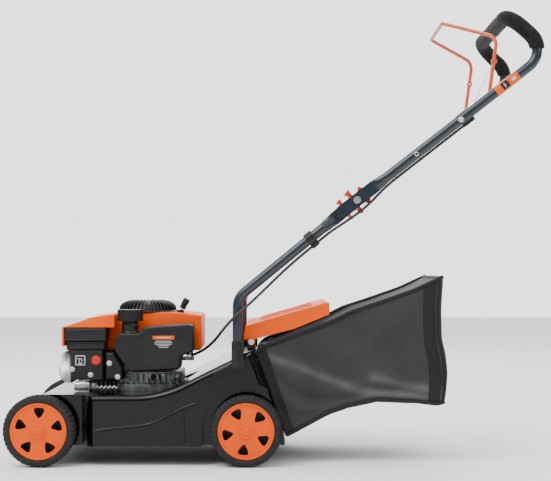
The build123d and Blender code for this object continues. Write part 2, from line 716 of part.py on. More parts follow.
# ---------------------------------------------------------------- engine block
FLANGE_WIDE = 178.0
FLANGE_THICK = 14.0
FLANGE_CORNER_R = 26.0
SUMP_WIDE = 150.0
SUMP_CORNER_R = 22.0
SUMP_TOP = 190.0
CASE_TOP = 236.0
CASE_HALF = 60.0
CASE_FRONT_X = CRANK_X - 62.0
CASE_REAR_X = CRANK_X + 62.0
SUMP_REAR_X = CRANK_X + 84.0
BORE_R = 30.0
BORE_Z = 200.0
THROW = 18.0
LUG_X = -192.0
LUG_Y = -48.0
LUG_LOW = 214.0
PIN_R = 4.0
CHAMBER_R = 50.0
with BuildPart() as crankcase:
    with BuildSketch(Plane.XY.offset(DECK_TOP + SNUG)):
        with Locations(((CASE_FRONT_X + SUMP_REAR_X) / 2, 0)):
            RectangleRounded(SUMP_REAR_X - CASE_FRONT_X, FLANGE_WIDE, FLANGE_CORNER_R)
    extrude(amount=FLANGE_THICK)
    with BuildSketch(Plane.XY.offset(DECK_TOP + FLANGE_THICK)):
        with Locations(((CASE_FRONT_X + SUMP_REAR_X) / 2, 0)):
            RectangleRounded(SUMP_REAR_X - CASE_FRONT_X - 6, SUMP_WIDE, SUMP_CORNER_R)
    extrude(amount=SUMP_TOP - DECK_TOP - FLANGE_THICK)
    with BuildSketch(Plane.XY.offset(SUMP_TOP)):
        with Locations((CRANK_X, 0)):
            RectangleRounded(CASE_REAR_X - CASE_FRONT_X, 2 * CASE_HALF, 14)
    extrude(amount=CASE_TOP - SUMP_TOP)
    # lug for the brake lever's pin
    with BuildSketch(Plane.XY.offset(LUG_LOW)):
        with Locations(((CASE_REAR_X + LUG_X) / 2, LUG_Y)):
            Rectangle(LUG_X - CASE_REAR_X + 20, 18)
    extrude(amount=8)
    with BuildSketch(Plane.XY.offset(LUG_LOW)):
        with Locations((LUG_X, LUG_Y)):
            Circle(PIN_R)
    extrude(amount=56)
    # crank chamber, shaft bearings, the bore's mouth and the mounting bolt holes
    with BuildSketch(Plane.XY.offset(DECK_TOP + 12)):
        with Locations((CRANK_X, 0)):
            Circle(CHAMBER_R)
    extrude(amount=CASE_TOP - DECK_TOP - 22, mode=Mode.SUBTRACT)
    with BuildSketch(Plane.XY.offset(DECK_TOP - 5)):
        with Locations((CRANK_X, 0)):
            Circle(SHAFT_R + RUNNING)
    extrude(amount=120, mode=Mode.SUBTRACT)
    with BuildSketch(Plane(origin=(CRANK_X, 0, BORE_Z), z_dir=(-1, 0, 0))):
        Circle(BORE_R)
    extrude(amount=120, mode=Mode.SUBTRACT)
    with BuildSketch(Plane.XY.offset(DECK_TOP)):
        with Locations((CRANK_X, 0)):
            with PolarLocations(MOUNT_BOLT_PCD / 2, 3):
                Circle(MOUNT_HOLE_R)
    extrude(amount=18, mode=Mode.SUBTRACT)
save(crankcase, "crankcase")

FIN_COUNT = 6
FIN_PITCH = 9.5
FIN_THICK = 3.0
FIN_TALL = 88.0
FIN_WIDE = 76.0
FIN_CORNER_R = 10.0
FIN_MID_Z = BORE_Z - 4.0
HEAD_X = CASE_FRONT_X - 62.0
with BuildPart() as cylinder:
    with BuildSketch(Plane(origin=(CASE_FRONT_X - SNUG, 0, BORE_Z), z_dir=(-1, 0, 0))):
        Circle(BORE_R + 6)
    extrude(amount=CASE_FRONT_X - HEAD_X - SNUG)
    for fin in range(FIN_COUNT):
        with BuildSketch(Plane(origin=(CASE_FRONT_X - 6 - fin * FIN_PITCH, 0, FIN_MID_Z), z_dir=(-1, 0, 0))):
            RectangleRounded(FIN_TALL, FIN_WIDE, FIN_CORNER_R)
        extrude(amount=FIN_THICK)
    with BuildSketch(Plane(origin=(CASE_FRONT_X, 0, BORE_Z), z_dir=(-1, 0, 0))):
        Circle(BORE_R)
    extrude(amount=120, mode=Mode.SUBTRACT)
save(cylinder, "cylinder")

PLUG_Y = -8.0
with BuildPart() as cylinder_head:
    with BuildSketch(Plane(origin=(HEAD_X - SNUG, 0, FIN_MID_Z), z_dir=(-1, 0, 0))):
        RectangleRounded(FIN_TALL, FIN_WIDE, FIN_CORNER_R)
    extrude(amount=6)
    with BuildSketch(Plane(origin=(HEAD_X - 6, 0, FIN_MID_Z), z_dir=(-1, 0, 0))):
        for fin_y in range(-36, 40, 12):
            with Locations((fin_y, 0)):
                Rectangle(FIN_THICK, 72)
    extrude(amount=10)
    with BuildSketch(Plane(origin=(HEAD_X - 6, PLUG_Y, BORE_Z), z_dir=(-1, 0, 0))):
        Circle(11)
    extrude(amount=10)
    with BuildSketch(Plane(origin=(HEAD_X + 1, PLUG_Y, BORE_Z), z_dir=(-1, 0, 0))):
        Circle(7)
    extrude(amount=30, mode=Mode.SUBTRACT)
save(cylinder_head, "cylinder_head")

with BuildPart() as spark_plug:
    # thread, hexagon seat, insulator and terminal: start from the head, length, radius
    for start, length, radius in ((1, 16, 6.95), (16.1, 8, 9.5), (24, 22, 5.5), (46, 6, 2.5)):
        with BuildSketch(Plane(origin=(HEAD_X - start, PLUG_Y, BORE_Z), z_dir=(-1, 0, 0))):
            Circle(radius)
        extrude(amount=length)
save(spark_plug, "spark_plug")

with BuildPart() as plug_boot:
    with BuildSketch(Plane(origin=(HEAD_X - 32, PLUG_Y, BORE_Z), z_dir=(-1, 0, 0))):
        Circle(9)
    extrude(amount=24)
    with BuildSketch(Plane.XY.offset(BORE_Z)):
        with Locations((HEAD_X - 48, PLUG_Y)):
            Circle(7)
    extrude(amount=26)
    with BuildSketch(Plane(origin=(HEAD_X - 31, PLUG_Y, BORE_Z), z_dir=(-1, 0, 0))):
        Circle(5.52)
    extrude(amount=15, mode=Mode.SUBTRACT)
    with BuildSketch(Plane(origin=(HEAD_X - 31, PLUG_Y, BORE_Z), z_dir=(-1, 0, 0))):
        Circle(2.52)
    extrude(amount=22, mode=Mode.SUBTRACT)
save(plug_boot, "plug_boot")

CROWN_X = HEAD_X + 6.0
with BuildPart() as piston:
    with BuildSketch(Plane(origin=(CROWN_X, 0, BORE_Z), z_dir=(1, 0, 0))):
        Circle(BORE_R - RUNNING)
    extrude(amount=36)
    with BuildSketch(Plane(origin=(CROWN_X + 6, 0, BORE_Z), z_dir=(1, 0, 0))):
        Circle(BORE_R - 4)
    extrude(amount=40, mode=Mode.SUBTRACT)
    with BuildSketch(side_plane(BORE_R - 1)):
        with Locations((CROWN_X + 20, BORE_Z)):
            Circle(6)
    extrude(amount=2 * BORE_R - 2)
save(piston, "piston")

ROD_END_X = CRANK_X - THROW - 14.0
with BuildPart() as connecting_rod:
    with BuildSketch(side_plane(7)):
        with Locations((CROWN_X + 20, BORE_Z)):
            Circle(10)
        with BuildLine():
            Line((CROWN_X + 20, BORE_Z), (ROD_END_X, BORE_Z))
        trace(line_width=11)
    extrude(amount=14)
    with BuildSketch(side_plane(8)):
        with Locations((CROWN_X + 20, BORE_Z)):
            Circle(6 + SNUG)
    extrude(amount=16, mode=Mode.SUBTRACT)
save(connecting_rod, "connecting_rod")

SHAFT_FOOT = 98.0
SHAFT_HEAD = 300.0
with BuildPart() as crankshaft:
    for low, high in ((SHAFT_FOOT, BORE_Z - 12), (BORE_Z + 12, SHAFT_HEAD)):
        with BuildSketch(Plane.XY.offset(low)):
            with Locations((CRANK_X, 0)):
                Circle(SHAFT_R)
        extrude(amount=high - low)
    for low in (BORE_Z - 18, BORE_Z + 10):
        with BuildSketch(Plane.XY.offset(low)):
            with Locations((CRANK_X + 6, 0)):
                Circle(26)
        extrude(amount=8)
    with BuildSketch(Plane.XY.offset(BORE_Z - 12)):
        with Locations((CRANK_X - THROW + 6, 0)):
            Circle(9)
    extrude(amount=24)
save(crankshaft, "crankshaft")

FLYWHEEL_LOW = 262.0
with BuildPart() as flywheel:
    with BuildSketch(Plane.XY.offset(FLYWHEEL_LOW)):
        with Locations((CRANK_X, 0)):
            Circle(FLYWHEEL_R)
    extrude(amount=12)
    with BuildSketch(Plane.XY.offset(FLYWHEEL_LOW + 12)):
        with Locations((CRANK_X, 0)):
            Circle(20)
            with PolarLocations(42, 16):
                Rectangle(26, 2.5, rotation=30)
    extrude(amount=18)
    with BuildSketch(Plane.XY.offset(FLYWHEEL_LOW - 1)):
        with Locations((CRANK_X, 0)):
            Circle(SHAFT_R + SNUG)
    extrude(amount=40, mode=Mode.SUBTRACT)
save(flywheel, "flywheel")

with BuildPart() as brake_lever:
    with BuildSketch(Plane.XY.offset(223)):
        with Locations((LUG_X, LUG_Y)):
            Circle(8)
    extrude(amount=46)
    with BuildSketch(Plane.XY.offset(225)):
        with BuildLine():
            Line((LUG_X, LUG_Y), (LUG_X, LUG_Y - 40))
        trace(line_width=10)
    extrude(amount=3)
    pad_reach = hypot(CRANK_X - LUG_X, LUG_Y) - FLYWHEEL_R - 0.4
    pad_angle = atan2(-LUG_Y, CRANK_X - LUG_X)
    pad_end = (LUG_X + pad_reach * cos(pad_angle), LUG_Y + pad_reach * sin(pad_angle))
    with BuildSketch(Plane.XY.offset(263)):
        with BuildLine():
            Line((LUG_X, LUG_Y), pad_end)
        trace(line_width=9)
    extrude(amount=6)
    with BuildSketch(Plane.XY.offset(220)):
        with Locations((LUG_X, LUG_Y)):
            Circle(PIN_R + RUNNING)
        with Locations((LUG_X, LUG_Y - 35)):
            Circle(1.6)
    extrude(amount=60, mode=Mode.SUBTRACT)
save(brake_lever, "brake_lever")

# ---------------------------------------------------------------- engine covers
FRONT_BLOCK_REAR_X = -352.0
FRONT_BLOCK_BOTTOM = 290.0


def cowl_form(inset):
    """The cowl's outer form, or its hollow when inset is the wall."""
    with BuildPart() as form:
        with BuildSketch(Plane.XY.offset(COWL_BOTTOM - (10 if inset else 0))):
            with Locations(((COWL_FRONT_X + COWL_REAR_X) / 2, (COWL_LEFT_Y + COWL_RIGHT_Y) / 2)):
                RectangleRounded(
                    COWL_REAR_X - COWL_FRONT_X - 2 * inset, COWL_RIGHT_Y - COWL_LEFT_Y - 2 * inset, 26 - inset
                )
        extrude(amount=COWL_TOP - inset - COWL_BOTTOM + (10 if inset else 0))
        with BuildSketch(Plane.XY.offset(FRONT_BLOCK_BOTTOM - (10 if inset else 0))):
            with Locations((COWL_FRONT_X + inset, FILTER_LEFT_Y + inset)):
                Rectangle(
                    FRONT_BLOCK_REAR_X - COWL_FRONT_X - 2 * inset,
                    -FILTER_LEFT_Y - 2 * inset,
                    align=(Align.MIN, Align.MIN),
                )
        extrude(amount=COWL_TOP - inset - FRONT_BLOCK_BOTTOM + (10 if inset else 0))
        # the top falls away to the front and, gently, to both ends
        with BuildSketch(side_plane(160)):
            Polygon(
                (COWL_FRONT_X - 20, COWL_BOTTOM - 20),
                (COWL_FRONT_X - 20, 268 - inset),
                (COWL_FRONT_X + 8, 292 - inset),
                (COWL_FRONT_X + 62, 311 - inset),
                (CRANK_X - 30, COWL_TOP - inset),
                (CRANK_X + 60, COWL_TOP - inset),
                (COWL_REAR_X + 20, COWL_TOP - 8 - inset),
                (COWL_REAR_X + 20, COWL_BOTTOM - 20),
                align=None,
            )
        extrude(amount=320, mode=Mode.INTERSECT)
    return form.part


cowl_outer = cowl_form(0)
cowl_inner = cowl_form(COWL_WALL)
GUIDE = (-214.0, -30.0)
with BuildPart() as blower_housing:
    add(cowl_outer)
    add(cowl_inner, mode=Mode.SUBTRACT)
    with BuildSketch(Plane.XY.offset(COWL_BOTTOM + 40)):
        with Locations((CRANK_X, 0)):
            Circle(DOME_R - 4)
        with Locations(GUIDE):
            Circle(8.1)
    extrude(amount=100, mode=Mode.SUBTRACT)
save(blower_housing, "blower_housing")

RIB_COUNT = 36
DOME_FOOT = COWL_TOP + SNUG
with BuildPart() as recoil_housing:
    with BuildSketch(Plane(origin=(CRANK_X, 0, 0), x_dir=(1, 0, 0), z_dir=(0, -1, 0))):
        with BuildLine():
            Line((0, DOME_TOP), (44, DOME_TOP))
            ThreePointArc((44, DOME_TOP), (57, DOME_TOP - 6), (62, DOME_TOP - 18))
            Line((62, DOME_TOP - 18), (62, DOME_FOOT + 3))
            Line((62, DOME_FOOT + 3), (DOME_R + 4, DOME_FOOT + 3))
            Line((DOME_R + 4, DOME_FOOT + 3), (DOME_R + 4, DOME_FOOT))
            Line((DOME_R + 4, DOME_FOOT), (0, DOME_FOOT))
            Line((0, DOME_FOOT), (0, DOME_TOP))
        make_face()
    revolve(axis=Axis((CRANK_X, 0, 0), (0, 0, 1)))
    for hollow_r, hollow_top in ((59, DOME_TOP - 16), (51, DOME_TOP - 6)):
        with BuildSketch(Plane.XY.offset(DOME_FOOT - 1)):
            with Locations((CRANK_X, 0)):
                Circle(hollow_r)
        extrude(amount=hollow_top - DOME_FOOT + 1, mode=Mode.SUBTRACT)
    with BuildSketch(Plane.XY.offset(DOME_FOOT + 6)):
        with Locations((CRANK_X, 0)):
            with PolarLocations(60, RIB_COUNT):
                Rectangle(12, 4.6)
    extrude(amount=12, mode=Mode.SUBTRACT)
    # post that carries the pulley
    with BuildSketch(Plane.XY.offset(DOME_TOP - 5)):
        with Locations((CRANK_X, 0)):
            Circle(6)
    extrude(amount=-20)
save(recoil_housing, "recoil_housing")

PULLEY_R = 34.0
with BuildPart() as recoil_pulley:
    with BuildSketch(Plane.XY.offset(DOME_TOP - 19)):
        with Locations((CRANK_X, 0)):
            Circle(PULLEY_R)
    extrude(amount=10)
    with BuildSketch(Plane.XY.offset(DOME_TOP - 16)):
        with Locations((CRANK_X, 0)):
            Circle(PULLEY_R + 1)
            Circle(PULLEY_R - 7, mode=Mode.SUBTRACT)
    extrude(amount=4, mode=Mode.SUBTRACT)
    with BuildSketch(Plane.XY.offset(DOME_TOP - 30)):
        with Locations((CRANK_X, 0)):
            Circle(6 + RUNNING)
    extrude(amount=40, mode=Mode.SUBTRACT)
save(recoil_pulley, "recoil_pulley")

PULL_ANGLE = radians(62)
PULL_START = (GUIDE[0], GUIDE[1], COWL_TOP)
pull = Plane(origin=PULL_START, x_dir=(0, 1, 0), z_dir=(cos(PULL_ANGLE), 0, sin(PULL_ANGLE)))
with BuildPart() as rope_guide:
    with BuildSketch(Plane.XY.offset(COWL_TOP - 8)):
        with Locations(GUIDE):
            Circle(8)
    extrude(amount=12)
    with BuildSketch(pull.offset(-14)):
        Circle(2.4)
    extrude(amount=40, mode=Mode.SUBTRACT)
save(rope_guide, "rope_guide")

with BuildPart() as starter_handle:
    with BuildSketch(pull.offset(8)):
        Circle(7)
    extrude(amount=12)
    with BuildSketch(pull.offset(20)):
        SlotOverall(44, 14)
    extrude(amount=13)
    fillet(starter_handle.faces().sort_by(Axis((0, 0, 0), tuple(pull.z_dir)))[-1].edges(), 3)
save(starter_handle, "starter_handle")

# ---------------------------------------------------------------- fuel tank
TANK_NEAR_Y = -132.0
TANK_FAR_Y = COWL_LEFT_Y - 4.0
TANK_OUTLINE = [
    (-327.0, 207.0), (-317.0, 194.0), (-212.0, 199.0), (-206.0, 207.0), (-206.0, 228.0), (-178.0, 239.0),
    (-179.0, 296.0), (-190.0, 298.0), (-283.0, 292.0), (-298.0, 278.0), (-341.0, 278.0), (-350.0, 262.0),
    (-349.0, 240.0),
]
TANK_WALL = 3.0
NECK = (-319.0, -101.0)
NECK_R = 17.5
CAP_R = 28.0
with BuildPart() as fuel_tank:
    with BuildSketch(side_plane(TANK_FAR_Y)):
        Polygon(*TANK_OUTLINE, align=None)
    extrude(amount=TANK_FAR_Y - TANK_NEAR_Y)
    fillet(fuel_tank.faces().sort_by(Axis.Y)[0].edges(), 5)
    with BuildSketch(side_plane(TANK_FAR_Y - TANK_WALL)):
        Polygon(*TANK_OUTLINE, align=None)
        offset(amount=-TANK_WALL, kind=Kind.INTERSECTION)
    extrude(amount=TANK_FAR_Y - TANK_NEAR_Y - 2 * TANK_WALL - 3, mode=Mode.SUBTRACT)
    with BuildSketch(Plane.XY.offset(272)):
        with Locations(NECK):
            Circle(NECK_R)
    extrude(amount=38)
    with BuildSketch(Plane.XY.offset(262)):
        with Locations(NECK):
            Circle(NECK_R - 3)
    extrude(amount=60, mode=Mode.SUBTRACT)
save(fuel_tank, "fuel_tank")

CAP_LOW = 304.0
CAP_HIGH = 329.0
with BuildPart() as fuel_cap:
    with BuildSketch(Plane.XY.offset(CAP_LOW)):
        with Locations(NECK):
            Circle(CAP_R - 1.2)
            with PolarLocations(CAP_R - 1.2, 32):
                Circle(1.2)
    extrude(amount=CAP_HIGH - CAP_LOW)
    with BuildSketch(Plane.XY.offset(CAP_LOW - 1)):
        with Locations(NECK):
            Circle(NECK_R + RUNNING)
    extrude(amount=8, mode=Mode.SUBTRACT)
save(fuel_cap, "fuel_cap")

# ---------------------------------------------------------------- intake side
FILTER_X = (-462.0, -369.0)
FILTER_FAR_Y = COWL_LEFT_Y - 2.0
FILTER_LOW = 241.0
FILTER_SPLIT = 261.0
with BuildPart() as air_filter_box:
    with BuildSketch(Plane.XY.offset(FILTER_LOW)):
        with Locations((FILTER_X[0] + 5, FILTER_LEFT_Y + 3)):
            Rectangle(84, FILTER_FAR_Y - FILTER_LEFT_Y - 6, align=(Align.MIN, Align.MIN))
    extrude(amount=FILTER_SPLIT - FILTER_LOW - GAP)
    fillet(air_filter_box.edges().filter_by(Axis.Z), 6)
    with BuildSketch(Plane.XY.offset(FILTER_LOW + 3)):
        with Locations((FILTER_X[0] + 8, FILTER_LEFT_Y + 6)):
            Rectangle(78, FILTER_FAR_Y - FILTER_LEFT_Y - 12, align=(Align.MIN, Align.MIN))
    extrude(amount=40, mode=Mode.SUBTRACT)
save(air_filter_box, "air_filter_box")

with BuildPart() as air_filter_cover:
    with BuildSketch(Plane.XY.offset(FILTER_SPLIT)):
        with Locations((FILTER_X[0], FILTER_LEFT_Y)):
            Rectangle(FILTER_X[1] - FILTER_X[0], FILTER_FAR_Y - FILTER_LEFT_Y, align=(Align.MIN, Align.MIN))
    extrude(amount=FRONT_BLOCK_BOTTOM - FILTER_SPLIT - GAP)
    fillet(air_filter_cover.edges().filter_by(Axis.Z), 8)
    with BuildSketch(Plane.XY.offset(FILTER_SPLIT - 1)):
        with Locations((FILTER_X[0] + 3, FILTER_LEFT_Y + 3)):
            Rectangle(FILTER_X[1] - FILTER_X[0] - 6, FILTER_FAR_Y - FILTER_LEFT_Y - 6,
                      align=(Align.MIN, Align.MIN))
    extrude(amount=FRONT_BLOCK_BOTTOM - FILTER_SPLIT - 3, mode=Mode.SUBTRACT)
save(air_filter_cover, "air_filter_cover")

with BuildPart() as air_filter_element:
    with BuildSketch(Plane.XY.offset(245)):
        with Locations((FILTER_X[0] + 9, FILTER_LEFT_Y + 7)):
            Rectangle(76, FILTER_FAR_Y - FILTER_LEFT_Y - 14, align=(Align.MIN, Align.MIN))
    extrude(amount=15)
save(air_filter_element, "air_filter_element")

PLATE_X = (-447.0, -376.0)
PLATE_LOW = 176.0
PRIMER = (-391.6, 218.0)
PRIMER_R = 11.0
with BuildPart() as carburettor_cover:
    with BuildSketch(Plane.XY.offset(PLATE_LOW)):
        with Locations((PLATE_X[0], FILTER_LEFT_Y + 1)):
            Rectangle(PLATE_X[1] - PLATE_X[0], 50, align=(Align.MIN, Align.MIN))
    extrude(amount=FILTER_LOW - PLATE_LOW - GAP)
    fillet(carburettor_cover.edges().filter_by(Axis.Z), 7)
    with BuildSketch(Plane.XY.offset(PLATE_LOW - 6)):
        with Locations((PLATE_X[0] + 3, FILTER_LEFT_Y + 4)):
            Rectangle(PLATE_X[1] - PLATE_X[0] - 6, 60, align=(Align.MIN, Align.MIN))
    extrude(amount=FILTER_LOW - PLATE_LOW + 3, mode=Mode.SUBTRACT)
    with BuildSketch(side_plane(FILTER_LEFT_Y + 10)):
        with Locations(PRIMER):
            Circle(PRIMER_R + RUNNING)
    extrude(amount=20, mode=Mode.SUBTRACT)
save(carburettor_cover, "carburettor_cover")

with BuildPart() as primer_bulb:
    with BuildSketch(side_plane(FILTER_LEFT_Y + 8)):
        with Locations(PRIMER):
            Circle(PRIMER_R)
    extrude(amount=12)
    fillet(primer_bulb.faces().sort_by(Axis.Y)[0].edges(), 4.5)
save(primer_bulb, "primer_bulb")

CARBURETTOR = (-416.0, -88.0)
BODY_LOW = 192.0
BOWL_DEEP = 12.0
with BuildPart() as carburettor:
    with BuildSketch(Plane.XY.offset(BODY_LOW)):
        with Locations(CARBURETTOR):
            RectangleRounded(34, 26, 5)
    extrude(amount=34)
    # float bowl and the throat into the cylinder
    with BuildSketch(Plane.XY.offset(BODY_LOW - BOWL_DEEP)):
        with Locations(CARBURETTOR):
            Circle(12)
    extrude(amount=BOWL_DEEP)
    with BuildSketch(Plane(origin=(CARBURETTOR[0], CARBURETTOR[1] + 12, BODY_LOW + 20), z_dir=(0, 1, 0))):
        Circle(9)
    extrude(amount=30)
save(carburettor, "carburettor")

BREATHER_FAR_Y = -77.0
BREATHER_DEEP = 37.0
with BuildPart() as breather_housing:
    with BuildSketch(side_plane(BREATHER_FAR_Y)):
        Polygon((-373, 172), (-334, 176), (-334, 206), (-354, 236), (-373, 236), align=None)
    extrude(amount=BREATHER_DEEP)
    fillet(breather_housing.faces().sort_by(Axis.Y)[0].edges(), 7)
save(breather_housing, "breather_housing")

# ---------------------------------------------------------------- exhaust side
MUFFLER = (-428.0, 78.0)
MUFFLER_LOW = 172.0
MUFFLER_TALL = 54.0
with BuildPart() as muffler:
    with BuildSketch(Plane.XY.offset(MUFFLER_LOW)):
        with Locations(MUFFLER):
            RectangleRounded(60, 52, 12)
    extrude(amount=MUFFLER_TALL)
    fillet(muffler.faces().sort_by(Axis.Z)[-1].edges(), 6)
save(muffler, "muffler")

GUARD_THICK = 1.5
GUARD_LOW = 168.0
GUARD_TALL = 70.0
with BuildPart() as muffler_guard:
    with BuildSketch(Plane.XY.offset(GUARD_LOW)):
        with BuildLine():
            Polyline((-449, -104), (-468, -96), (-476, -70), (-476, 108), (-462, 116), (-400, 116))
        trace(line_width=GUARD_THICK)
    extrude(amount=GUARD_TALL)
    # vent holes, and the way in to the spark plug
    with BuildSketch(Plane(origin=(-480, 62, 204), x_dir=(0, 1, 0), z_dir=(1, 0, 0))):
        with GridLocations(12, 12, 6, 4):
            Circle(3.4)
    extrude(amount=14, mode=Mode.SUBTRACT)
    with BuildSketch(Plane(origin=(-480, PLUG_Y, BORE_Z), x_dir=(0, 1, 0), z_dir=(1, 0, 0))):
        SlotOverall(44, 30, rotation=90)
    extrude(amount=14, mode=Mode.SUBTRACT)
save(muffler_guard, "muffler_guard")

# ---------------------------------------------------------------- fixings and blade
with BuildPart() as engine_bolts:
    with BuildSketch(Plane.XY.offset(DECK_TOP - 14)):
        with Locations((CRANK_X, 0)):
            with PolarLocations(MOUNT_BOLT_PCD / 2, 3):
                Circle(MOUNT_BOLT_R)
    extrude(amount=28 + SNUG)
    with BuildSketch(Plane.XY.offset(DECK_TOP - SHEET - SNUG)):
        with Locations((CRANK_X, 0)):
            with PolarLocations(MOUNT_BOLT_PCD / 2, 3):
                RegularPolygon(7, 6)
    extrude(amount=-6)
save(engine_bolts, "engine_bolts")

ADAPTER_LOW = BLADE_Z + 4
with BuildPart() as blade_adapter:
    with BuildSketch(Plane.XY.offset(ADAPTER_LOW)):
        with Locations((CRANK_X, 0)):
            Circle(28)
    extrude(amount=7)
    with BuildSketch(Plane.XY.offset(ADAPTER_LOW + 7)):
        with Locations((CRANK_X, 0)):
            Circle(19)
    extrude(amount=44)
    with BuildSketch(Plane.XY.offset(SHAFT_FOOT - SNUG)):
        with Locations((CRANK_X, 0)):
            Circle(SHAFT_R + SNUG)
    extrude(amount=60, mode=Mode.SUBTRACT)
    with BuildSketch(Plane.XY.offset(ADAPTER_LOW - 1)):
        with Locations((CRANK_X, 0)):
            Circle(5 + SNUG)
    extrude(amount=60, mode=Mode.SUBTRACT)
save(blade_adapter, "blade_adapter")

with BuildPart() as blade:
    with BuildSketch(Plane.XY.offset(BLADE_Z)):
        with Locations((CRANK_X, 0)):
            RectangleRounded(BLADE_LENGTH, 50, 8)
            Circle(5 + SNUG, mode=Mode.SUBTRACT)
    extrude(amount=4 - SNUG)
    for side_sign in (-1, 1):
        wing = Plane(
            origin=(CRANK_X + side_sign * (BLADE_LENGTH / 2 - 40), side_sign * -20, BLADE_Z),
            x_dir=(1, 0, 0),
            z_dir=(0, side_sign * sin(radians(35)), cos(radians(35))),
        )
        with BuildSketch(wing):
            Rectangle(70, 18)
        extrude(amount=4)
save(blade, "cutting_blade")

with BuildPart() as blade_bolt:
    with BuildSketch(Plane.XY.offset(BLADE_Z - 11)):
        with Locations((CRANK_X, 0)):
            RegularPolygon(9, 6)
    extrude(amount=8)
    with BuildSketch(Plane.XY.offset(BLADE_Z - 3)):
        with Locations((CRANK_X, 0)):
            Circle(18)
    extrude(amount=3 - SNUG)
    with BuildSketch(Plane.XY.offset(BLADE_Z - 3)):
        with Locations((CRANK_X, 0)):
            Circle(5)
    extrude(amount=SHAFT_FOOT - BLADE_Z + 3 - SNUG)
save(blade_bolt, "blade_bolt")

# ---------------------------------------------------------------- control cable
def under_leg(angle, distance, below):
    """A point under the left leg, at a distance from the fold bolt along it."""
    x, z = along(FOLD, angle, distance)
    return x + below * sin(angle), -HANDLE_Y, z - below * cos(angle)


CABLE_STOP_AT = 290.0
STOP_HALF = 14.0
STOP_WALL = 1.5
STOP_LUG = 8.0
CLIP_AT = -128.0
LOW_DROP = 16.0                    # cable's middle below the lower leg's middle
HIGH_DROP = TUBE_R + CABLE_R + 0.4
ROOT_ROUTE = [
    (LUG_X + 8.0, LUG_Y - 44.0, 228.0),
    (-160.0, -112.0, 238.0),
    (-132.0, 36.0 - HANDLE_Y, 262.0),
    (-114.0, -4.0 - HANDLE_Y, 286.0),
    (-92.0, -20.0 - HANDLE_Y, 312.0),
    (-64.0, -19.0 - HANDLE_Y, 336.0),
    (-32.0, -9.0 - HANDLE_Y, 366.0),
    under_leg(LOWER_ANGLE, -200.0, LOW_DROP),
    under_leg(LOWER_ANGLE, -112.0, LOW_DROP),
]
FOLD_ROUTE = [
    under_leg(LOWER_ANGLE, -112.0, LOW_DROP),
    under_leg(LOWER_ANGLE, -84.0, LOW_DROP),
    under_leg(LOWER_ANGLE, -50.0, LOW_DROP + 4.0),
    under_leg(UPPER_ANGLE, 6.0, 24.0),
    under_leg(UPPER_ANGLE, 66.0, HIGH_DROP),
    under_leg(UPPER_ANGLE, 116.0, HIGH_DROP),
]
UPPER_ROUTE = [
    under_leg(UPPER_ANGLE, 116.0, HIGH_DROP),
    under_leg(UPPER_ANGLE, CABLE_STOP_AT - STOP_HALF - GAP, HIGH_DROP),
]


def cable_bends(points):
    """Radius of the arc at each inner point: 0.45 of the shorter run over tan(half the turn)."""
    radii = []
    for before, here, after in zip(points, points[1:], points[2:]):
        run_in = Vector(*here) - Vector(*before)
        run_out = Vector(*after) - Vector(*here)
        turn = radians(run_in.get_angle(run_out))
        radii.append(round(0.45 * min(run_in.length, run_out.length) / tan(turn / 2), 1))
    return radii


for route, name in (
    (ROOT_ROUTE, "control_cable_lower"),
    (FOLD_ROUTE, "control_cable_fold"),
    (UPPER_ROUTE, "control_cable_upper"),
):
    bends = cable_bends(route)
    with BuildPart() as cable:
        add(bent_tube(route, bends, CABLE_R))
    save(cable, name)

clip_x, clip_z = along(FOLD, LOWER_ANGLE, CLIP_AT)
with BuildPart() as cable_clip:
    clip_way = (cos(LOWER_ANGLE), 0, sin(LOWER_ANGLE))
    band = Plane(origin=(clip_x, -HANDLE_Y, clip_z), x_dir=(0, 1, 0), z_dir=clip_way)
    with BuildSketch(band.offset(-9)):
        Circle(TUBE_R + 3.5)
        with Locations((0, -LOW_DROP)):
            Circle(CABLE_R + 3)
            Circle(CABLE_R + SNUG, mode=Mode.SUBTRACT)
        Circle(TUBE_R + SNUG, mode=Mode.SUBTRACT)
    extrude(amount=18)
save(cable_clip, "cable_clip")

with BuildPart() as cable_stop:
    stop_plane = Plane(
        origin=under_leg(UPPER_ANGLE, CABLE_STOP_AT, 0),
        x_dir=(0, 1, 0),
        z_dir=(cos(UPPER_ANGLE), 0, sin(UPPER_ANGLE)),
    )
    with BuildSketch(stop_plane.offset(-STOP_HALF)):
        Circle(TUBE_R + STOP_WALL)
        with Locations((0, -HIGH_DROP)):
            Rectangle(STOP_LUG, STOP_LUG)
        Circle(TUBE_R + SNUG, mode=Mode.SUBTRACT)
    extrude(amount=2 * STOP_HALF)
save(cable_stop, "cable_stop")

WIRE_Y = -HANDLE_Y + TUBE_R + 3.5      # the inner wire runs between the leg and the bail
wire_foot = along(FOLD, UPPER_ANGLE, CABLE_STOP_AT + STOP_HALF + 2)
with BuildPart() as brake_inner_wire:
    add(bent_tube(
        [(wire_foot[0], WIRE_Y, wire_foot[1]), (EYELET[0] - 7, WIRE_Y, EYELET[1] - 12)],
        [],
        WIRE_CABLE_R,
    ))
save(brake_inner_wire, "brake_inner_wire")
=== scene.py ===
"""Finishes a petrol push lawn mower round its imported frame: fabric bag, covers, wheels, cables and materials."""
import json
from math import atan2, cos, exp, hypot, pi, radians, sin

import bmesh
import bpy
from mathutils import Matrix, Vector, noise


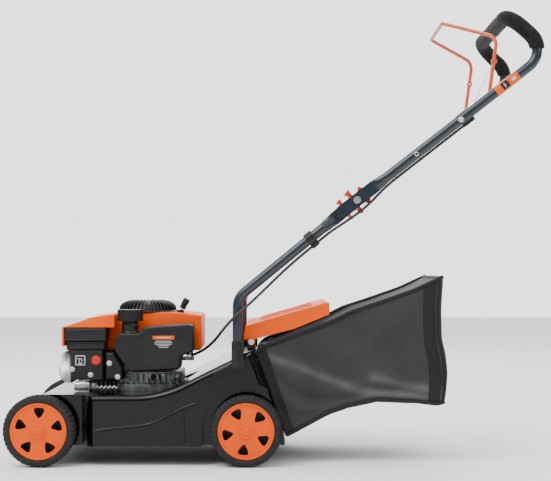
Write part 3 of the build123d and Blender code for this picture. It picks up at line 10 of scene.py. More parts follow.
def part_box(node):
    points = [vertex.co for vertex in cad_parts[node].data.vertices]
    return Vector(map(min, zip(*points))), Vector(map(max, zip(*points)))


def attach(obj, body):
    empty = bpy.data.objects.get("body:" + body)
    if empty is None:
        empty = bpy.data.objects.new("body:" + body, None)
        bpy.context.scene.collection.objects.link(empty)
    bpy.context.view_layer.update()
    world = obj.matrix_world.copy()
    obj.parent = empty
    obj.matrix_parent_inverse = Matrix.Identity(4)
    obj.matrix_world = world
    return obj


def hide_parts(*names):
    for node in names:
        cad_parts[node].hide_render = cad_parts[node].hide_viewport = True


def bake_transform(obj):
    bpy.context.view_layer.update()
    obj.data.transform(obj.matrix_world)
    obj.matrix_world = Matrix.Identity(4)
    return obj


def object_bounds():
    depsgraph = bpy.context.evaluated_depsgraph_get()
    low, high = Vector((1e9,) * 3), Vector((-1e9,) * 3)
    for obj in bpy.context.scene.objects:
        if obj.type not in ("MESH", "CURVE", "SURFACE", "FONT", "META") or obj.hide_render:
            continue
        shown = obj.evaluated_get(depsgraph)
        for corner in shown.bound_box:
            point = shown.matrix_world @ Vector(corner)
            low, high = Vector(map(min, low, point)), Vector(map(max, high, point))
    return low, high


bl_info = {
    "name": "Push lawn mower",
    "version": (1, 0, 0),
    "blender": (4, 5, 0),
    "location": "View3D > Sidebar > Mower",
    "description": "Builds the soft parts, covers, cables and finishes of a push lawn mower",
    "category": "Add Mesh",
}

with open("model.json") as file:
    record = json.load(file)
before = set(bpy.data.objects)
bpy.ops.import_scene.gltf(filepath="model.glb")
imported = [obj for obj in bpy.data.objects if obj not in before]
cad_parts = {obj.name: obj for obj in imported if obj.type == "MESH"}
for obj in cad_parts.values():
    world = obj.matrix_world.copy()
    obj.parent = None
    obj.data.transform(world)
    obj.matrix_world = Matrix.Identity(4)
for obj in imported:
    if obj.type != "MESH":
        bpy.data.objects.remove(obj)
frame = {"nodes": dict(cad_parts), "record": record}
CAD_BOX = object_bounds()
JOINTS = {joint["name"]: joint for joint in frame["record"]["behaviour"]["joints"]}
MM = 0.001
FINISHES = {}

LEFT_LEG_Y = -0.196
TUBE_R = 0.011
FOLD = Vector(JOINTS["handle_fold"]["pos_m"])
SLOPE = atan2(0.3162, 0.4069)
CABLE_R = 0.003


# ---------------------------------------------------------------- settings
class MowerSizes(bpy.types.PropertyGroup):
    """Sizes that a user would change."""

    tread_lugs: bpy.props.IntProperty(name="Tread lugs", description="Lugs round each tyre", default=44, min=12)
    tread_depth: bpy.props.FloatProperty(
        name="Tread depth", description="Depth of the tyre's grooves", default=0.0030, unit="LENGTH"
    )
    dome_ribs: bpy.props.IntProperty(name="Dome ribs", description="Ribs round the starter cover", default=44, min=8)
    bag_sag: bpy.props.FloatProperty(
        name="Bag sag", description="How far the bag's sides hang in", default=0.016, unit="LENGTH"
    )
    label_length: bpy.props.FloatProperty(
        name="Label length", description="Length of the label on the left leg", default=0.060, unit="LENGTH"
    )


class MowerColours(bpy.types.PropertyGroup):
    """Colours that a user would change, as linear values of the named sRGB colours."""

    orange: bpy.props.FloatVectorProperty(
        name="Orange", description="Moulded orange of wheels, cowl and flap", subtype="COLOR", default=(0.80, 0.088, 0.0)
    )
    fabric: bpy.props.FloatVectorProperty(
        name="Fabric", description="Bag cloth", subtype="COLOR", default=(0.017, 0.0175, 0.0185)
    )


# ---------------------------------------------------------------- material helpers
def srgb(code):
    """Linear colour with alpha of an sRGB hex code."""
    channels = [int(code[i : i + 2], 16) / 255 for i in (1, 3, 5)]
    linear = [c / 12.92 if c <= 0.04045 else ((c + 0.055) / 1.055) ** 2.4 for c in channels]
    return (*linear, 1.0)


def add_node(tree, kind, settings=None, inputs=None, links=None):
    """Adds a node, sets its properties and inputs, and links sockets into it."""
    made = tree.nodes.new(kind)
    for key, value in (settings or {}).items():
        setattr(made, key, value)
    for key, value in (inputs or {}).items():
        made.inputs[key].default_value = value
    for key, socket in (links or {}).items():
        tree.links.new(socket, made.inputs[key])
    return made


def new_finish(name, **surface):
    """A material with a Principled surface, whose constants are set on its own sockets."""
    made = bpy.data.materials.new(name)
    made.use_nodes = True
    tree = made.node_tree
    shader = tree.nodes["Principled BSDF"]
    for key, value in surface.items():
        shader.inputs[key.replace("_", " ")].default_value = value
    made.diffuse_color = surface.get("Base_Color", (0.5, 0.5, 0.5, 1))
    FINISHES[name] = made
    return made, tree, shader


def object_coordinates(tree):
    """The object's own coordinates, in metres."""
    return add_node(tree, "ShaderNodeTexCoord").outputs["Object"]


def mottle(tree, shader, low, high, size_mm, place, detail=3.0):
    """Blends two colours over patches of a real size."""
    field = add_node(
        tree, "ShaderNodeTexNoise", inputs={"Scale": 1000 / size_mm, "Detail": detail}, links={"Vector": place}
    )
    ramp = add_node(tree, "ShaderNodeValToRGB", links={"Fac": field.outputs["Fac"]})
    ramp.color_ramp.elements[0].position = 0.35
    ramp.color_ramp.elements[1].position = 0.65
    ramp.color_ramp.elements[0].color = low
    ramp.color_ramp.elements[1].color = high
    tree.links.new(ramp.outputs["Color"], shader.inputs["Base Color"])
    return ramp


def rough_patches(tree, shader, low, high, size_mm, place):
    """Lets the roughness wander between two values over patches of a real size."""
    field = add_node(
        tree, "ShaderNodeTexNoise", inputs={"Scale": 1000 / size_mm, "Detail": 4.0}, links={"Vector": place}
    )
    spread = add_node(
        tree, "ShaderNodeMapRange", inputs={"To Min": low, "To Max": high}, links={"Value": field.outputs["Fac"]}
    )
    tree.links.new(spread.outputs["Result"], shader.inputs["Roughness"])


def bump(tree, shader, height, strength, depth_mm):
    """Raises the surface by a height pattern."""
    made = add_node(
        tree,
        "ShaderNodeBump",
        inputs={"Strength": strength, "Distance": depth_mm * MM},
        links={"Height": height},
    )
    tree.links.new(made.outputs["Normal"], shader.inputs["Normal"])
    return made


def grain(tree, size_mm, place, detail=2.0):
    """A fine noise height of a real grain size."""
    return add_node(
        tree, "ShaderNodeTexNoise", inputs={"Scale": 1000 / size_mm, "Detail": detail}, links={"Vector": place}
    ).outputs["Fac"]


# ---------------------------------------------------------------- materials
def black_powder_coat():
    """Baked polyester powder on pressed steel: deep gloss black, with the slight waviness of melted powder."""
    _, tree, shader = new_finish(
        "black_powder_coat", Base_Color=srgb("#040405"), Specular_IOR_Level=0.14, Coat_Weight=0.22, Coat_Roughness=0.05
    )
    place = object_coordinates(tree)
    rough_patches(tree, shader, 0.14, 0.22, 60, place)
    bump(tree, shader, grain(tree, 5.0, place), 0.06, 0.4)


def orange_abs(colour):
    """Glossy injection-moulded ABS: bright orange, a soft sheen and a little depth."""
    _, tree, shader = new_finish("orange_moulded_abs", Specular_IOR_Level=0.12)
    place = object_coordinates(tree)
    low = tuple(c * 0.93 for c in colour) + (1.0,)
    high = tuple(min(1.0, c * 1.05) for c in colour) + (1.0,)
    mottle(tree, shader, low, high, 90, place)
    rough_patches(tree, shader, 0.4, 0.5, 25, place)
    bump(tree, shader, grain(tree, 1.2, place), 0.05, 0.15)


def dipped_wire():
    """Steel wire dipped in orange vinyl: softer and paler than the mouldings, slightly uneven."""
    _, tree, shader = new_finish("orange_vinyl_dip", Coat_Weight=0.2, Coat_Roughness=0.3)
    place = object_coordinates(tree)
    mottle(tree, shader, srgb("#c2451c"), srgb("#d95a28"), 18, place)
    rough_patches(tree, shader, 0.3, 0.45, 12, place)
    bump(tree, shader, grain(tree, 3.0, place), 0.12, 0.3)


def tyre_rubber():
    """Hard moulded tyre compound: dull black, greyer where it has been scuffed."""
    _, tree, shader = new_finish("tyre_rubber", IOR=1.5, Specular_IOR_Level=0.35)
    place = object_coordinates(tree)
    mottle(tree, shader, srgb("#121213"), srgb("#1d1d1e"), 14, place, 6.0)
    rough_patches(tree, shader, 0.55, 0.8, 8, place)
    bump(tree, shader, grain(tree, 0.9, place), 0.25, 0.25)


def slate_tube_paint():
    """Slate-blue black stove enamel on drawn steel tube: smooth, with a long soft highlight."""
    _, tree, shader = new_finish("slate_tube_enamel", Specular_IOR_Level=0.4, Coat_Weight=0.3, Coat_Roughness=0.12)
    place = object_coordinates(tree)
    mottle(tree, shader, srgb("#141d25"), srgb("#1c2730"), 60, place)
    rough_patches(tree, shader, 0.24, 0.34, 20, place)
    bump(tree, shader, grain(tree, 2.5, place), 0.05, 0.2)


def grip_foam():
    """Closed-cell nitrile foam sleeve: soft matt charcoal with fine open pores on its skin."""
    _, tree, shader = new_finish("grip_foam", Sheen_Weight=0.06, Sheen_Roughness=0.5, Specular_IOR_Level=0.12)
    place = object_coordinates(tree)
    mottle(tree, shader, srgb("#141415"), srgb("#212123"), 9, place, 5.0)
    shader.inputs["Roughness"].default_value = 0.88
    cells = add_node(
        tree, "ShaderNodeTexVoronoi", inputs={"Scale": 1000 / 1.5, "Randomness": 1.0}, links={"Vector": place}
    )
    bump(tree, shader, cells.outputs["Distance"], 0.5, 0.35)


def plated_steel():
    """Bright zinc plate on steel fixings: pale metal with a faint cloudy passivation."""
    _, tree, shader = new_finish("zinc_plated_steel", Metallic=1.0)
    place = object_coordinates(tree)
    mottle(tree, shader, srgb("#b9bcc0"), srgb("#d9dbdd"), 5, place)
    rough_patches(tree, shader, 0.22, 0.42, 4, place)
    bump(tree, shader, grain(tree, 0.8, place), 0.08, 0.1)


def black_oxide():
    """Blackened steel: dark, slightly oily metal with a mill surface under it."""
    _, tree, shader = new_finish("black_oxide_steel", Metallic=0.6)
    place = object_coordinates(tree)
    mottle(tree, shader, srgb("#1c1c1d"), srgb("#2c2b2b"), 12, place)
    rough_patches(tree, shader, 0.35, 0.55, 10, place)
    bump(tree, shader, grain(tree, 1.5, place), 0.12, 0.2)


def red_moulding():
    """Glossy red-orange nylon clamp knobs: a little translucent, bright along their edges."""
    _, tree, shader = new_finish(
        "red_moulded_nylon", Coat_Weight=0.4, Coat_Roughness=0.15, Subsurface_Weight=0.05
    )
    place = object_coordinates(tree)
    mottle(tree, shader, srgb("#c8250f"), srgb("#dc3516"), 20, place)
    rough_patches(tree, shader, 0.25, 0.38, 10, place)
    bump(tree, shader, grain(tree, 1.0, place), 0.06, 0.12)


def black_moulding():
    """Spark-eroded black polypropylene: matt, with a fine pebbled grain that catches a wide soft light."""
    _, tree, shader = new_finish("black_moulded_polypropylene", Specular_IOR_Level=0.35)
    place = object_coordinates(tree)
    mottle(tree, shader, srgb("#0e0e0f"), srgb("#161617"), 30, place)
    rough_patches(tree, shader, 0.38, 0.54, 12, place)
    bump(tree, shader, grain(tree, 0.9, place), 0.22, 0.2)


def mesh_cloth(colour):
    """Coated polyester bag cloth in an open plain weave.

    The real threads are about 0.8 mm apart; they are drawn 1.7 mm apart so that the weave still shows.
    """
    _, tree, shader = new_finish("woven_bag_polyester", Specular_IOR_Level=0.3, Sheen_Weight=0.12, Sheen_Roughness=0.4)
    place = object_coordinates(tree)
    thread = 1000 / 1.7 / (2 * pi)
    warp = add_node(
        tree,
        "ShaderNodeTexWave",
        {"wave_type": "BANDS", "bands_direction": "X"},
        {"Scale": thread, "Distortion": 0.4, "Detail": 1.0, "Detail Scale": 2.0},
        {"Vector": place},
    )
    turned = add_node(tree, "ShaderNodeMapping", inputs={"Rotation": (radians(45), 0, 0)}, links={"Vector": place})
    weft = add_node(
        tree,
        "ShaderNodeTexWave",
        {"wave_type": "BANDS", "bands_direction": "Z"},
        {"Scale": thread * 1.2, "Distortion": 0.4, "Detail": 1.0, "Detail Scale": 2.0},
        {"Vector": turned.outputs["Vector"]},
    )
    weave = add_node(
        tree, "ShaderNodeMath", {"operation": "MULTIPLY"}, links={0: warp.outputs["Fac"], 1: weft.outputs["Fac"]}
    )
    dust = add_node(tree, "ShaderNodeTexNoise", inputs={"Scale": 9.0, "Detail": 6.0}, links={"Vector": place})
    tone = add_node(
        tree, "ShaderNodeMath", {"operation": "MULTIPLY_ADD"}, {1: 0.3, 2: 0.1}, {0: weave.outputs["Value"]}
    )
    mixed = add_node(
        tree, "ShaderNodeMath", {"operation": "MULTIPLY_ADD"}, {1: 0.9}, {0: dust.outputs["Fac"], 2: tone.outputs["Value"]}
    )
    ramp = add_node(tree, "ShaderNodeValToRGB", links={"Fac": mixed.outputs["Value"]})
    ramp.color_ramp.elements[0].position = 0.2
    ramp.color_ramp.elements[1].position = 0.85
    ramp.color_ramp.elements[0].color = tuple(c * 0.5 for c in colour) + (1.0,)
    ramp.color_ramp.elements[1].color = tuple(c * 1.9 for c in colour) + (1.0,)
    # painted highlight: the cloth colour is mixed towards a much lighter colour along the pulled creases, by the crease
    # strength stored on the bag's points
    painted_highlight_mask = add_node(tree, "ShaderNodeAttribute", {"attribute_name": "painted_ridge_highlight"})
    painted_ridge_highlight = add_node(tree, "ShaderNodeMix", {"data_type": "RGBA"}, links={0: painted_highlight_mask.outputs["Fac"], 6: ramp.outputs["Color"]})
    painted_ridge_highlight.inputs[7].default_value = tuple(c * 7.0 for c in colour) + (1.0,)
    tree.links.new(painted_ridge_highlight.outputs[2], shader.inputs["Base Color"])
    shader.inputs["Roughness"].default_value = 0.78
    bump(tree, shader, weave.outputs["Value"], 0.35, 0.3)


def webbing():
    """Ribbed polypropylene binding tape sewn over the bag's edges: near black with a dull shine."""
    _, tree, shader = new_finish("black_binding_tape", Specular_IOR_Level=0.3, Sheen_Weight=0.1, Sheen_Roughness=0.5)
    place = object_coordinates(tree)
    mottle(tree, shader, srgb("#0a0a0b"), srgb("#121213"), 4, place)
    shader.inputs["Roughness"].default_value = 0.7
    ribs = add_node(
        tree,
        "ShaderNodeTexWave",
        {"wave_type": "BANDS", "bands_direction": "DIAGONAL"},
        {"Scale": 1000 / 1.8 / (2 * pi), "Distortion": 0.2},
        {"Vector": place},
    )
    bump(tree, shader, ribs.outputs["Fac"], 0.5, 0.4)


def cast_aluminium():
    """Die-cast aluminium left as cast and bead blasted: pale grey with a soft sparkle."""
    _, tree, shader = new_finish("die_cast_aluminium", Metallic=1.0)
    place = object_coordinates(tree)
    mottle(tree, shader, srgb("#6d7072"), srgb("#aaadaf"), 16, place, 5.0)
    rough_patches(tree, shader, 0.38, 0.55, 6, place)
    bump(tree, shader, grain(tree, 0.8, place), 0.25, 0.2)


def cast_iron():
    """Sand-cast grey iron: dark, coarse and dull."""
    _, tree, shader = new_finish("sand_cast_iron", Metallic=0.9)
    place = object_coordinates(tree)
    mottle(tree, shader, srgb("#3d3d3f"), srgb("#555557"), 6, place, 6.0)
    rough_patches(tree, shader, 0.55, 0.75, 5, place)
    bump(tree, shader, grain(tree, 1.4, place, 5.0), 0.5, 0.4)


def turned_steel():
    """Turned and ground steel: bright, with fine tool lines."""
    _, tree, shader = new_finish("turned_steel", Metallic=1.0)
    place = object_coordinates(tree)
    mottle(tree, shader, srgb("#9a9b9d"), srgb("#c2c3c5"), 7, place)
    rough_patches(tree, shader, 0.2, 0.34, 3, place)
    lines = add_node(
        tree,
        "ShaderNodeTexWave",
        {"wave_type": "RINGS", "rings_direction": "Z"},
        {"Scale": 1000 / 1.2 / (2 * pi), "Distortion": 0.5},
        {"Vector": place},
    )
    bump(tree, shader, lines.outputs["Fac"], 0.1, 0.1)


def silver_heat_paint():
    """Heat-resistant aluminium paint on the exhaust guard: even satin silver, browned a little by heat."""
    _, tree, shader = new_finish("silver_heat_paint", Metallic=0.85)
    place = object_coordinates(tree)
    mottle(tree, shader, srgb("#a9a9a8"), srgb("#c6c6c5"), 22, place, 4.0)
    rough_patches(tree, shader, 0.32, 0.48, 8, place)
    bump(tree, shader, grain(tree, 1.0, place), 0.15, 0.15)


def pleated_paper():
    """Resin-stiffened filter paper: buff and fibrous."""
    _, tree, shader = new_finish("filter_paper", Roughness=0.9)
    place = object_coordinates(tree)
    mottle(tree, shader, srgb("#c8b382"), srgb("#dccb9f"), 5, place, 6.0)
    bump(tree, shader, grain(tree, 0.8, place, 6.0), 0.4, 0.3)


def soft_red_rubber():
    """Moulded red silicone of the primer bulb: satin and a little translucent."""
    _, tree, shader = new_finish("red_silicone", Subsurface_Weight=0.15, Subsurface_Radius=(0.004, 0.001, 0.001))
    place = object_coordinates(tree)
    mottle(tree, shader, srgb("#b3150d"), srgb("#cc2416"), 8, place)
    rough_patches(tree, shader, 0.32, 0.45, 6, place)
    bump(tree, shader, grain(tree, 1.0, place), 0.05, 0.1)


def cable_sheath():
    """Extruded black PVC over a steel coil: satin, with a faint drawn texture."""
    _, tree, shader = new_finish("black_pvc_sheath", Specular_IOR_Level=0.5)
    place = object_coordinates(tree)
    mottle(tree, shader, srgb("#0e0e0f"), srgb("#171718"), 12, place)
    rough_patches(tree, shader, 0.3, 0.45, 10, place)
    bump(tree, shader, grain(tree, 1.2, place), 0.08, 0.1)


def printed_vinyl():
    """Printed orange vinyl film for the label: smooth, glossy and a little uneven in its ink."""
    _, tree, shader = new_finish("orange_printed_vinyl", Specular_IOR_Level=0.2, Coat_Weight=0.1, Coat_Roughness=0.2)
    place = object_coordinates(tree)
    mottle(tree, shader, srgb("#d24f04"), srgb("#e0600a"), 20, place)
    rough_patches(tree, shader, 0.2, 0.3, 9, place)
    bump(tree, shader, grain(tree, 2.0, place), 0.04, 0.1)


def grey_print():
    """Pale grey screen-print ink: flat and slightly raised."""
    _, tree, shader = new_finish("grey_screen_print", Roughness=0.55)
    place = object_coordinates(tree)
    mottle(tree, shader, srgb("#a9adb0"), srgb("#c3c6c8"), 6, place)
    bump(tree, shader, grain(tree, 1.0, place), 0.08, 0.1)


def studio_paper():
    """White background paper: pale, matt and seamless."""
    new_finish("studio_paper", Base_Color=srgb("#f4f4f4"), Roughness=0.9, Specular_IOR_Level=0.2)


# ---------------------------------------------------------------- geometry helpers
def link(name, mesh, finish, smooth=True):
    """Puts a mesh in the scene as a named piece with its material."""
    piece = bpy.data.objects.new(name, mesh)
    bpy.context.scene.collection.objects.link(piece)
    mesh.materials.clear()
    mesh.materials.append(FINISHES[finish])
    if smooth:
        mesh.shade_smooth()
    return piece


def from_faces(name, points, faces, finish, smooth=True):
    """A piece from points and faces, with its outside facing out."""
    mesh = bpy.data.meshes.new(name)
    mesh.from_pydata([tuple(p) for p in points], [], faces)
    mesh.validate()
    tidy = bmesh.new()
    tidy.from_mesh(mesh)
    bmesh.ops.remove_doubles(tidy, verts=tidy.verts, dist=1e-6)
    bmesh.ops.recalc_face_normals(tidy, faces=tidy.faces)
    tidy.to_mesh(mesh)
    tidy.free()
    return link(name, mesh, finish, smooth)


def apply_modifiers(piece):
    """Fixes a piece's modifiers into its mesh."""
    graph = bpy.context.evaluated_depsgraph_get()
    made = bpy.data.meshes.new_from_object(piece.evaluated_get(graph))
    finish = piece.data.materials[0]
    piece.modifiers.clear()
    piece.data = made
    if not made.materials:
        made.materials.append(finish)
    return piece


def soften(piece, width, angle=30, steps=3, subdivide=0):
    """Rounds a piece's edges with a bevel that keeps its flats flat."""
    rounded = piece.modifiers.new("rounded", "BEVEL")
    rounded.width = width
    rounded.segments = steps
    rounded.limit_method = "ANGLE"
    rounded.angle_limit = radians(angle)
    rounded.harden_normals = True
    if subdivide:
        finer = piece.modifiers.new("finer", "SUBSURF")
        finer.levels = finer.render_levels = subdivide
    return apply_modifiers(piece)


def prism(name, outline, y_from, y_to, finish, width=0.002, steps=3):
    """A solid with an outline in the side plane, between two y values, with rounded edges."""
    count = len(outline)
    points = [(x, y, z) for y in (y_from, y_to) for x, z in outline]
    sides = [(i, (i + 1) % count, count + (i + 1) % count, count + i) for i in range(count)]
    ends = [tuple(range(count)), tuple(range(count, 2 * count))]
    return soften(from_faces(name, points, sides + ends, finish), width, steps=steps)


def block(name, low, high, finish, width=0.002, steps=3):
    """A rounded block between two corners."""
    outline = [(low[0], low[2]), (high[0], low[2]), (high[0], high[2]), (low[0], high[2])]
    return prism(name, outline, low[1], high[1], finish, width, steps)


def lathe(name, profile, middle, axis, finish, steps=64, closed=False, wave=None):
    """Turns a profile of (radius, height) round an axis; wave changes the radius by angle and height."""
    axis = Vector(axis).normalized()
    side = axis.orthogonal().normalized()
    up = axis.cross(side)
    points = []
    for i in range(steps):
        angle = 2 * pi * i / steps
        way = side * cos(angle) + up * sin(angle)
        for radius, height in profile:
            reach = radius + (wave(angle, radius, height) if wave else 0.0)
            points.append(Vector(middle) + way * reach + axis * height)
    size = len(profile)
    faces = []
    for i in range(steps):
        here, there = i * size, ((i + 1) % steps) * size
        for j in range(size - 1 + closed):
            k = (j + 1) % size
            faces.append((here + j, here + k, there + k, there + j))
    return from_faces(name, points, faces, finish)


def tube(name, points, radius, finish, order=3, sides=12, cyclic=False):
    """A smooth round tube along a NURBS curve through its control points, as a mesh."""
    data = bpy.data.curves.new(name, "CURVE")
    data.dimensions = "3D"
    data.bevel_depth = radius
    data.bevel_resolution = sides // 4
    data.use_fill_caps = not cyclic
    spline = data.splines.new("NURBS")
    spline.points.add(len(points) - 1)
    for control, point in zip(spline.points, points):
        control.co = (*point, 1.0)
    spline.order_u = order
    spline.use_endpoint_u = not cyclic
    spline.use_cyclic_u = cyclic
    spline.resolution_u = 10
    holder = bpy.data.objects.new(name + "_line", data)
    bpy.context.scene.collection.objects.link(holder)
    graph = bpy.context.evaluated_depsgraph_get()
    mesh = bpy.data.meshes.new_from_object(holder.evaluated_get(graph))
    bpy.data.objects.remove(holder)
    return link(name, mesh, finish)


def rounded_outline(corners, radius, steps=5):
    """An outline whose corners are rounded to a radius, or to one radius each."""
    radii = radius if isinstance(radius, (list, tuple)) else [radius] * len(corners)
    made = []
    for i, here in enumerate(corners):
        before = Vector(corners[i - 1])
        after = Vector(corners[(i + 1) % len(corners)])
        here = Vector(here)
        to_before = (before - here).normalized()
        to_after = (after - here).normalized()
        turn = to_before.angle(to_after)
        reach = min(
            radii[i] / max(0.05, abs(cos(turn / 2) / sin(turn / 2)) ** -1),
            0.45 * (before - here).length,
            0.45 * (after - here).length,
        )
        start, end = here + to_before * reach, here + to_after * reach
        for step in range(steps + 1):
            t = step / steps
            made.append((1 - t) ** 2 * start + 2 * t * (1 - t) * here + t * t * end)
    return made


def plate(name, outline, holes, place, thickness, edge, finish):
    """A flat plate with holes, cut from outlines in its own plane and placed by a matrix."""
    data = bpy.data.curves.new(name, "CURVE")
    data.dimensions = "2D"
    data.fill_mode = "BOTH"
    data.extrude = thickness / 2 - edge
    data.bevel_depth = edge
    data.bevel_resolution = 2
    data.offset = -edge
    for loop in [outline] + list(holes):
        spline = data.splines.new("POLY")
        spline.points.add(len(loop) - 1)
        for control, point in zip(spline.points, loop):
            control.co = (point[0], point[1], 0.0, 1.0)
        spline.use_cyclic_u = True
    holder = bpy.data.objects.new(name + "_line", data)
    bpy.context.scene.collection.objects.link(holder)
    graph = bpy.context.evaluated_depsgraph_get()
    mesh = bpy.data.meshes.new_from_object(holder.evaluated_get(graph))
    bpy.data.objects.remove(holder)
    mesh.transform(place)
    return link(name, mesh, finish, smooth=False)


def circle(radius, steps=48, middle=(0.0, 0.0), start=0.0):
    """Points round a circle."""
    return [
        (middle[0] + radius * cos(start + 2 * pi * i / steps), middle[1] + radius * sin(start + 2 * pi * i / steps))
        for i in range(steps)
    ]


def join(name, pieces):
    """Joins pieces of one material into one."""
    merged = bmesh.new()
    for piece in pieces:
        merged.from_mesh(piece.data)
    finish = pieces[0].data.materials[0].name
    mesh = bpy.data.meshes.new(name)
    merged.to_mesh(mesh)
    merged.free()
    for piece in pieces:
        bpy.data.objects.remove(piece)
    made = link(name, mesh, finish, smooth=False)
    mesh.set_sharp_from_angle(angle=radians(35))
    return made


def place_piece(piece, body, slot, *replaced):
    """Hangs a piece on its body and hides the frame pieces it stands for."""
    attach(piece, body)
    if replaced:
        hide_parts(*replaced)
    return piece


def side_place(x, y, z, outward=-1):
    """A matrix whose own x and y are the mower's X and Z, facing out to one side."""
    if outward < 0:
        return Matrix(((1, 0, 0, x), (0, 0, -1, y), (0, 1, 0, z), (0, 0, 0, 1)))
    return Matrix(((-1, 0, 0, x), (0, 0, 1, y), (0, 1, 0, z), (0, 0, 0, 1)))


def leg_point(distance, off=0.0, y=LEFT_LEG_Y):
    """A point beside the upper handle's leg: distance up it from the fold bolt, off it towards the sky."""
    return Vector(
        (FOLD.x + distance * cos(SLOPE) - off * sin(SLOPE), y, FOLD.z + distance * sin(SLOPE) + off * cos(SLOPE))
    )


def screw_head(name, at, axis, radius, finish="zinc_plated_steel"):
    """A pan-head screw with its washer."""
    profile = [(0.0, radius * 0.62), (radius * 0.45, radius * 0.56), (radius * 0.85, radius * 0.3), (radius * 0.95, 0.0)]
    head = lathe(name, profile, at, axis, finish, 24)
    washer = lathe(
        name + "_washer",
        [(radius * 0.5, 0.0), (radius * 1.35, 0.0), (radius * 1.35, -radius * 0.18), (radius * 0.5, -radius * 0.18)],
        at,
        axis,
        finish,
        24,
    )
    return join(name, [head, washer])


# ---------------------------------------------------------------- operators
class PieceOperator:
    """What every operator of this file shares."""

    bl_options = {"REGISTER", "UNDO"}

    @property
    def sizes(self):
        return bpy.context.scene.mower_sizes

    @property
    def colours(self):
        return bpy.context.scene.mower_colours


class MOWER_OT_stage(PieceOperator, bpy.types.Operator):
    """Adds the camera, the pale floor and the soft studio lights"""

    bl_idname = "mower.stage"
    bl_label = "Stage"

    def execute(self, context):
        distance = 2.7
        data = bpy.data.cameras.new("camera")
        data.lens = 84.0
        data.shift_y = 0.05
        camera = bpy.data.objects.new("camera", data)
        camera.location = (0.0, CAD_BOX[0][1] - distance, 0.42)
        camera.rotation_euler = (radians(90), 0, 0)
        context.scene.collection.objects.link(camera)
        context.scene.camera = camera
        studio_paper()
        floor = from_faces(
            "floor", [(-6, -6, -0.0005), (6, -6, -0.0005), (6, 8, -0.0005), (-6, 8, -0.0005)], [(0, 1, 2, 3)], "studio_paper"
        )
        self.surroundings(context)
        for name, place, size, power in (
            ("key_light", (-1.4, -1.6, 2.9), 1.6, 70),
            ("fill_light", (2.4, -1.8, 1.9), 1.6, 22),
            ("back_light", (0.2, 2.6, 2.6), 2.4, 60),
        ):
            light = bpy.data.lights.new(name, "AREA")
            light.energy = power
            light.size = size
            lamp = bpy.data.objects.new(name, light)
            lamp.location = place
            lamp.rotation_euler = (Vector((0, 0, 0.3)) - Vector(place)).to_track_quat("-Z", "Y").to_euler()
            context.scene.collection.objects.link(lamp)
        return {"FINISHED"}

    def surroundings(self, context):
        """A studio that is white behind the mower, pale above it and dim in front."""
        world = bpy.data.worlds.new("studio")
        world.use_nodes = True
        tree = world.node_tree
        sky = add_node(tree, "ShaderNodeTexCoord")
        way = add_node(tree, "ShaderNodeSeparateXYZ", links={"Vector": sky.outputs["Generated"]})
        backdrop = add_node(
            tree,
            "ShaderNodeMapRange",
            {"interpolation_type": "SMOOTHSTEP"},
            {"From Min": 0.78, "From Max": 0.96, "To Min": 0.0, "To Max": 2.2},
            {"Value": way.outputs["Y"]},
        )
        overhead = add_node(
            tree,
            "ShaderNodeMapRange",
            {"interpolation_type": "SMOOTHSTEP"},
            {"From Min": 0.05, "From Max": 0.75, "To Min": 0.2, "To Max": 1.8},
            {"Value": way.outputs["Z"]},
        )
        strength = add_node(
            tree, "ShaderNodeMath", {"operation": "ADD"}, links={0: backdrop.outputs["Result"], 1: overhead.outputs["Result"]}
        )
        shader = tree.nodes["Background"]
        shader.inputs["Color"].default_value = (1, 1, 1, 1)
        tree.links.new(strength.outputs["Value"], shader.inputs["Strength"])
        context.scene.world = world


class MOWER_OT_finishes(PieceOperator, bpy.types.Operator):
    """Makes every material and gives each frame piece its own"""

    bl_idname = "mower.finishes"
    bl_label = "Finishes"

    BY_SLOT = {
        "black_deck_paint": "black_powder_coat",
        "orange_plastic": "orange_moulded_abs",
        "orange_wire_coat": "orange_vinyl_dip",
        "tyre_rubber": "tyre_rubber",
        "tube_paint": "slate_tube_enamel",
        "foam": "grip_foam",
        "zinc_steel": "zinc_plated_steel",
        "black_steel": "black_oxide_steel",
        "red_plastic": "red_moulded_nylon",
        "black_plastic": "black_moulded_polypropylene",
        "bag_fabric": "woven_bag_polyester",
        "cast_aluminium": "die_cast_aluminium",
        "cast_iron_grey": "sand_cast_iron",
        "machined_steel": "turned_steel",
        "muffler_silver": "silver_heat_paint",
        "filter_paper": "filter_paper",
        "red_rubber": "red_silicone",
        "cable_sheath": "black_pvc_sheath",
    }

    def execute(self, context):
        for make in (
            black_powder_coat, dipped_wire, tyre_rubber, slate_tube_paint, grip_foam, plated_steel, black_oxide,
            red_moulding, black_moulding, webbing, cast_aluminium, cast_iron, turned_steel, silver_heat_paint,
            pleated_paper, soft_red_rubber, cable_sheath, printed_vinyl, grey_print,
        ):
            make()
        orange_abs(tuple(self.colours.orange))
        mesh_cloth(tuple(self.colours.fabric))
        slots = {part["node"]: part["material_slot"] for part in frame["record"]["subparts"]}
        for name, piece in frame["nodes"].items():
            finish = FINISHES[self.BY_SLOT[slots[name]]]
            piece.data.materials.clear()
            piece.data.materials.append(finish)
            for slot in piece.material_slots:
                slot.material = finish
        bolts = frame["nodes"]["handle_bolts"]
        bolts.data.materials.append(FINISHES["black_oxide_steel"])
        for face in bolts.data.polygons:
            low_fixing = (bolts.matrix_world @ face.center).z < 0.3
            face.material_index = int(low_fixing)
        return {"FINISHED"}


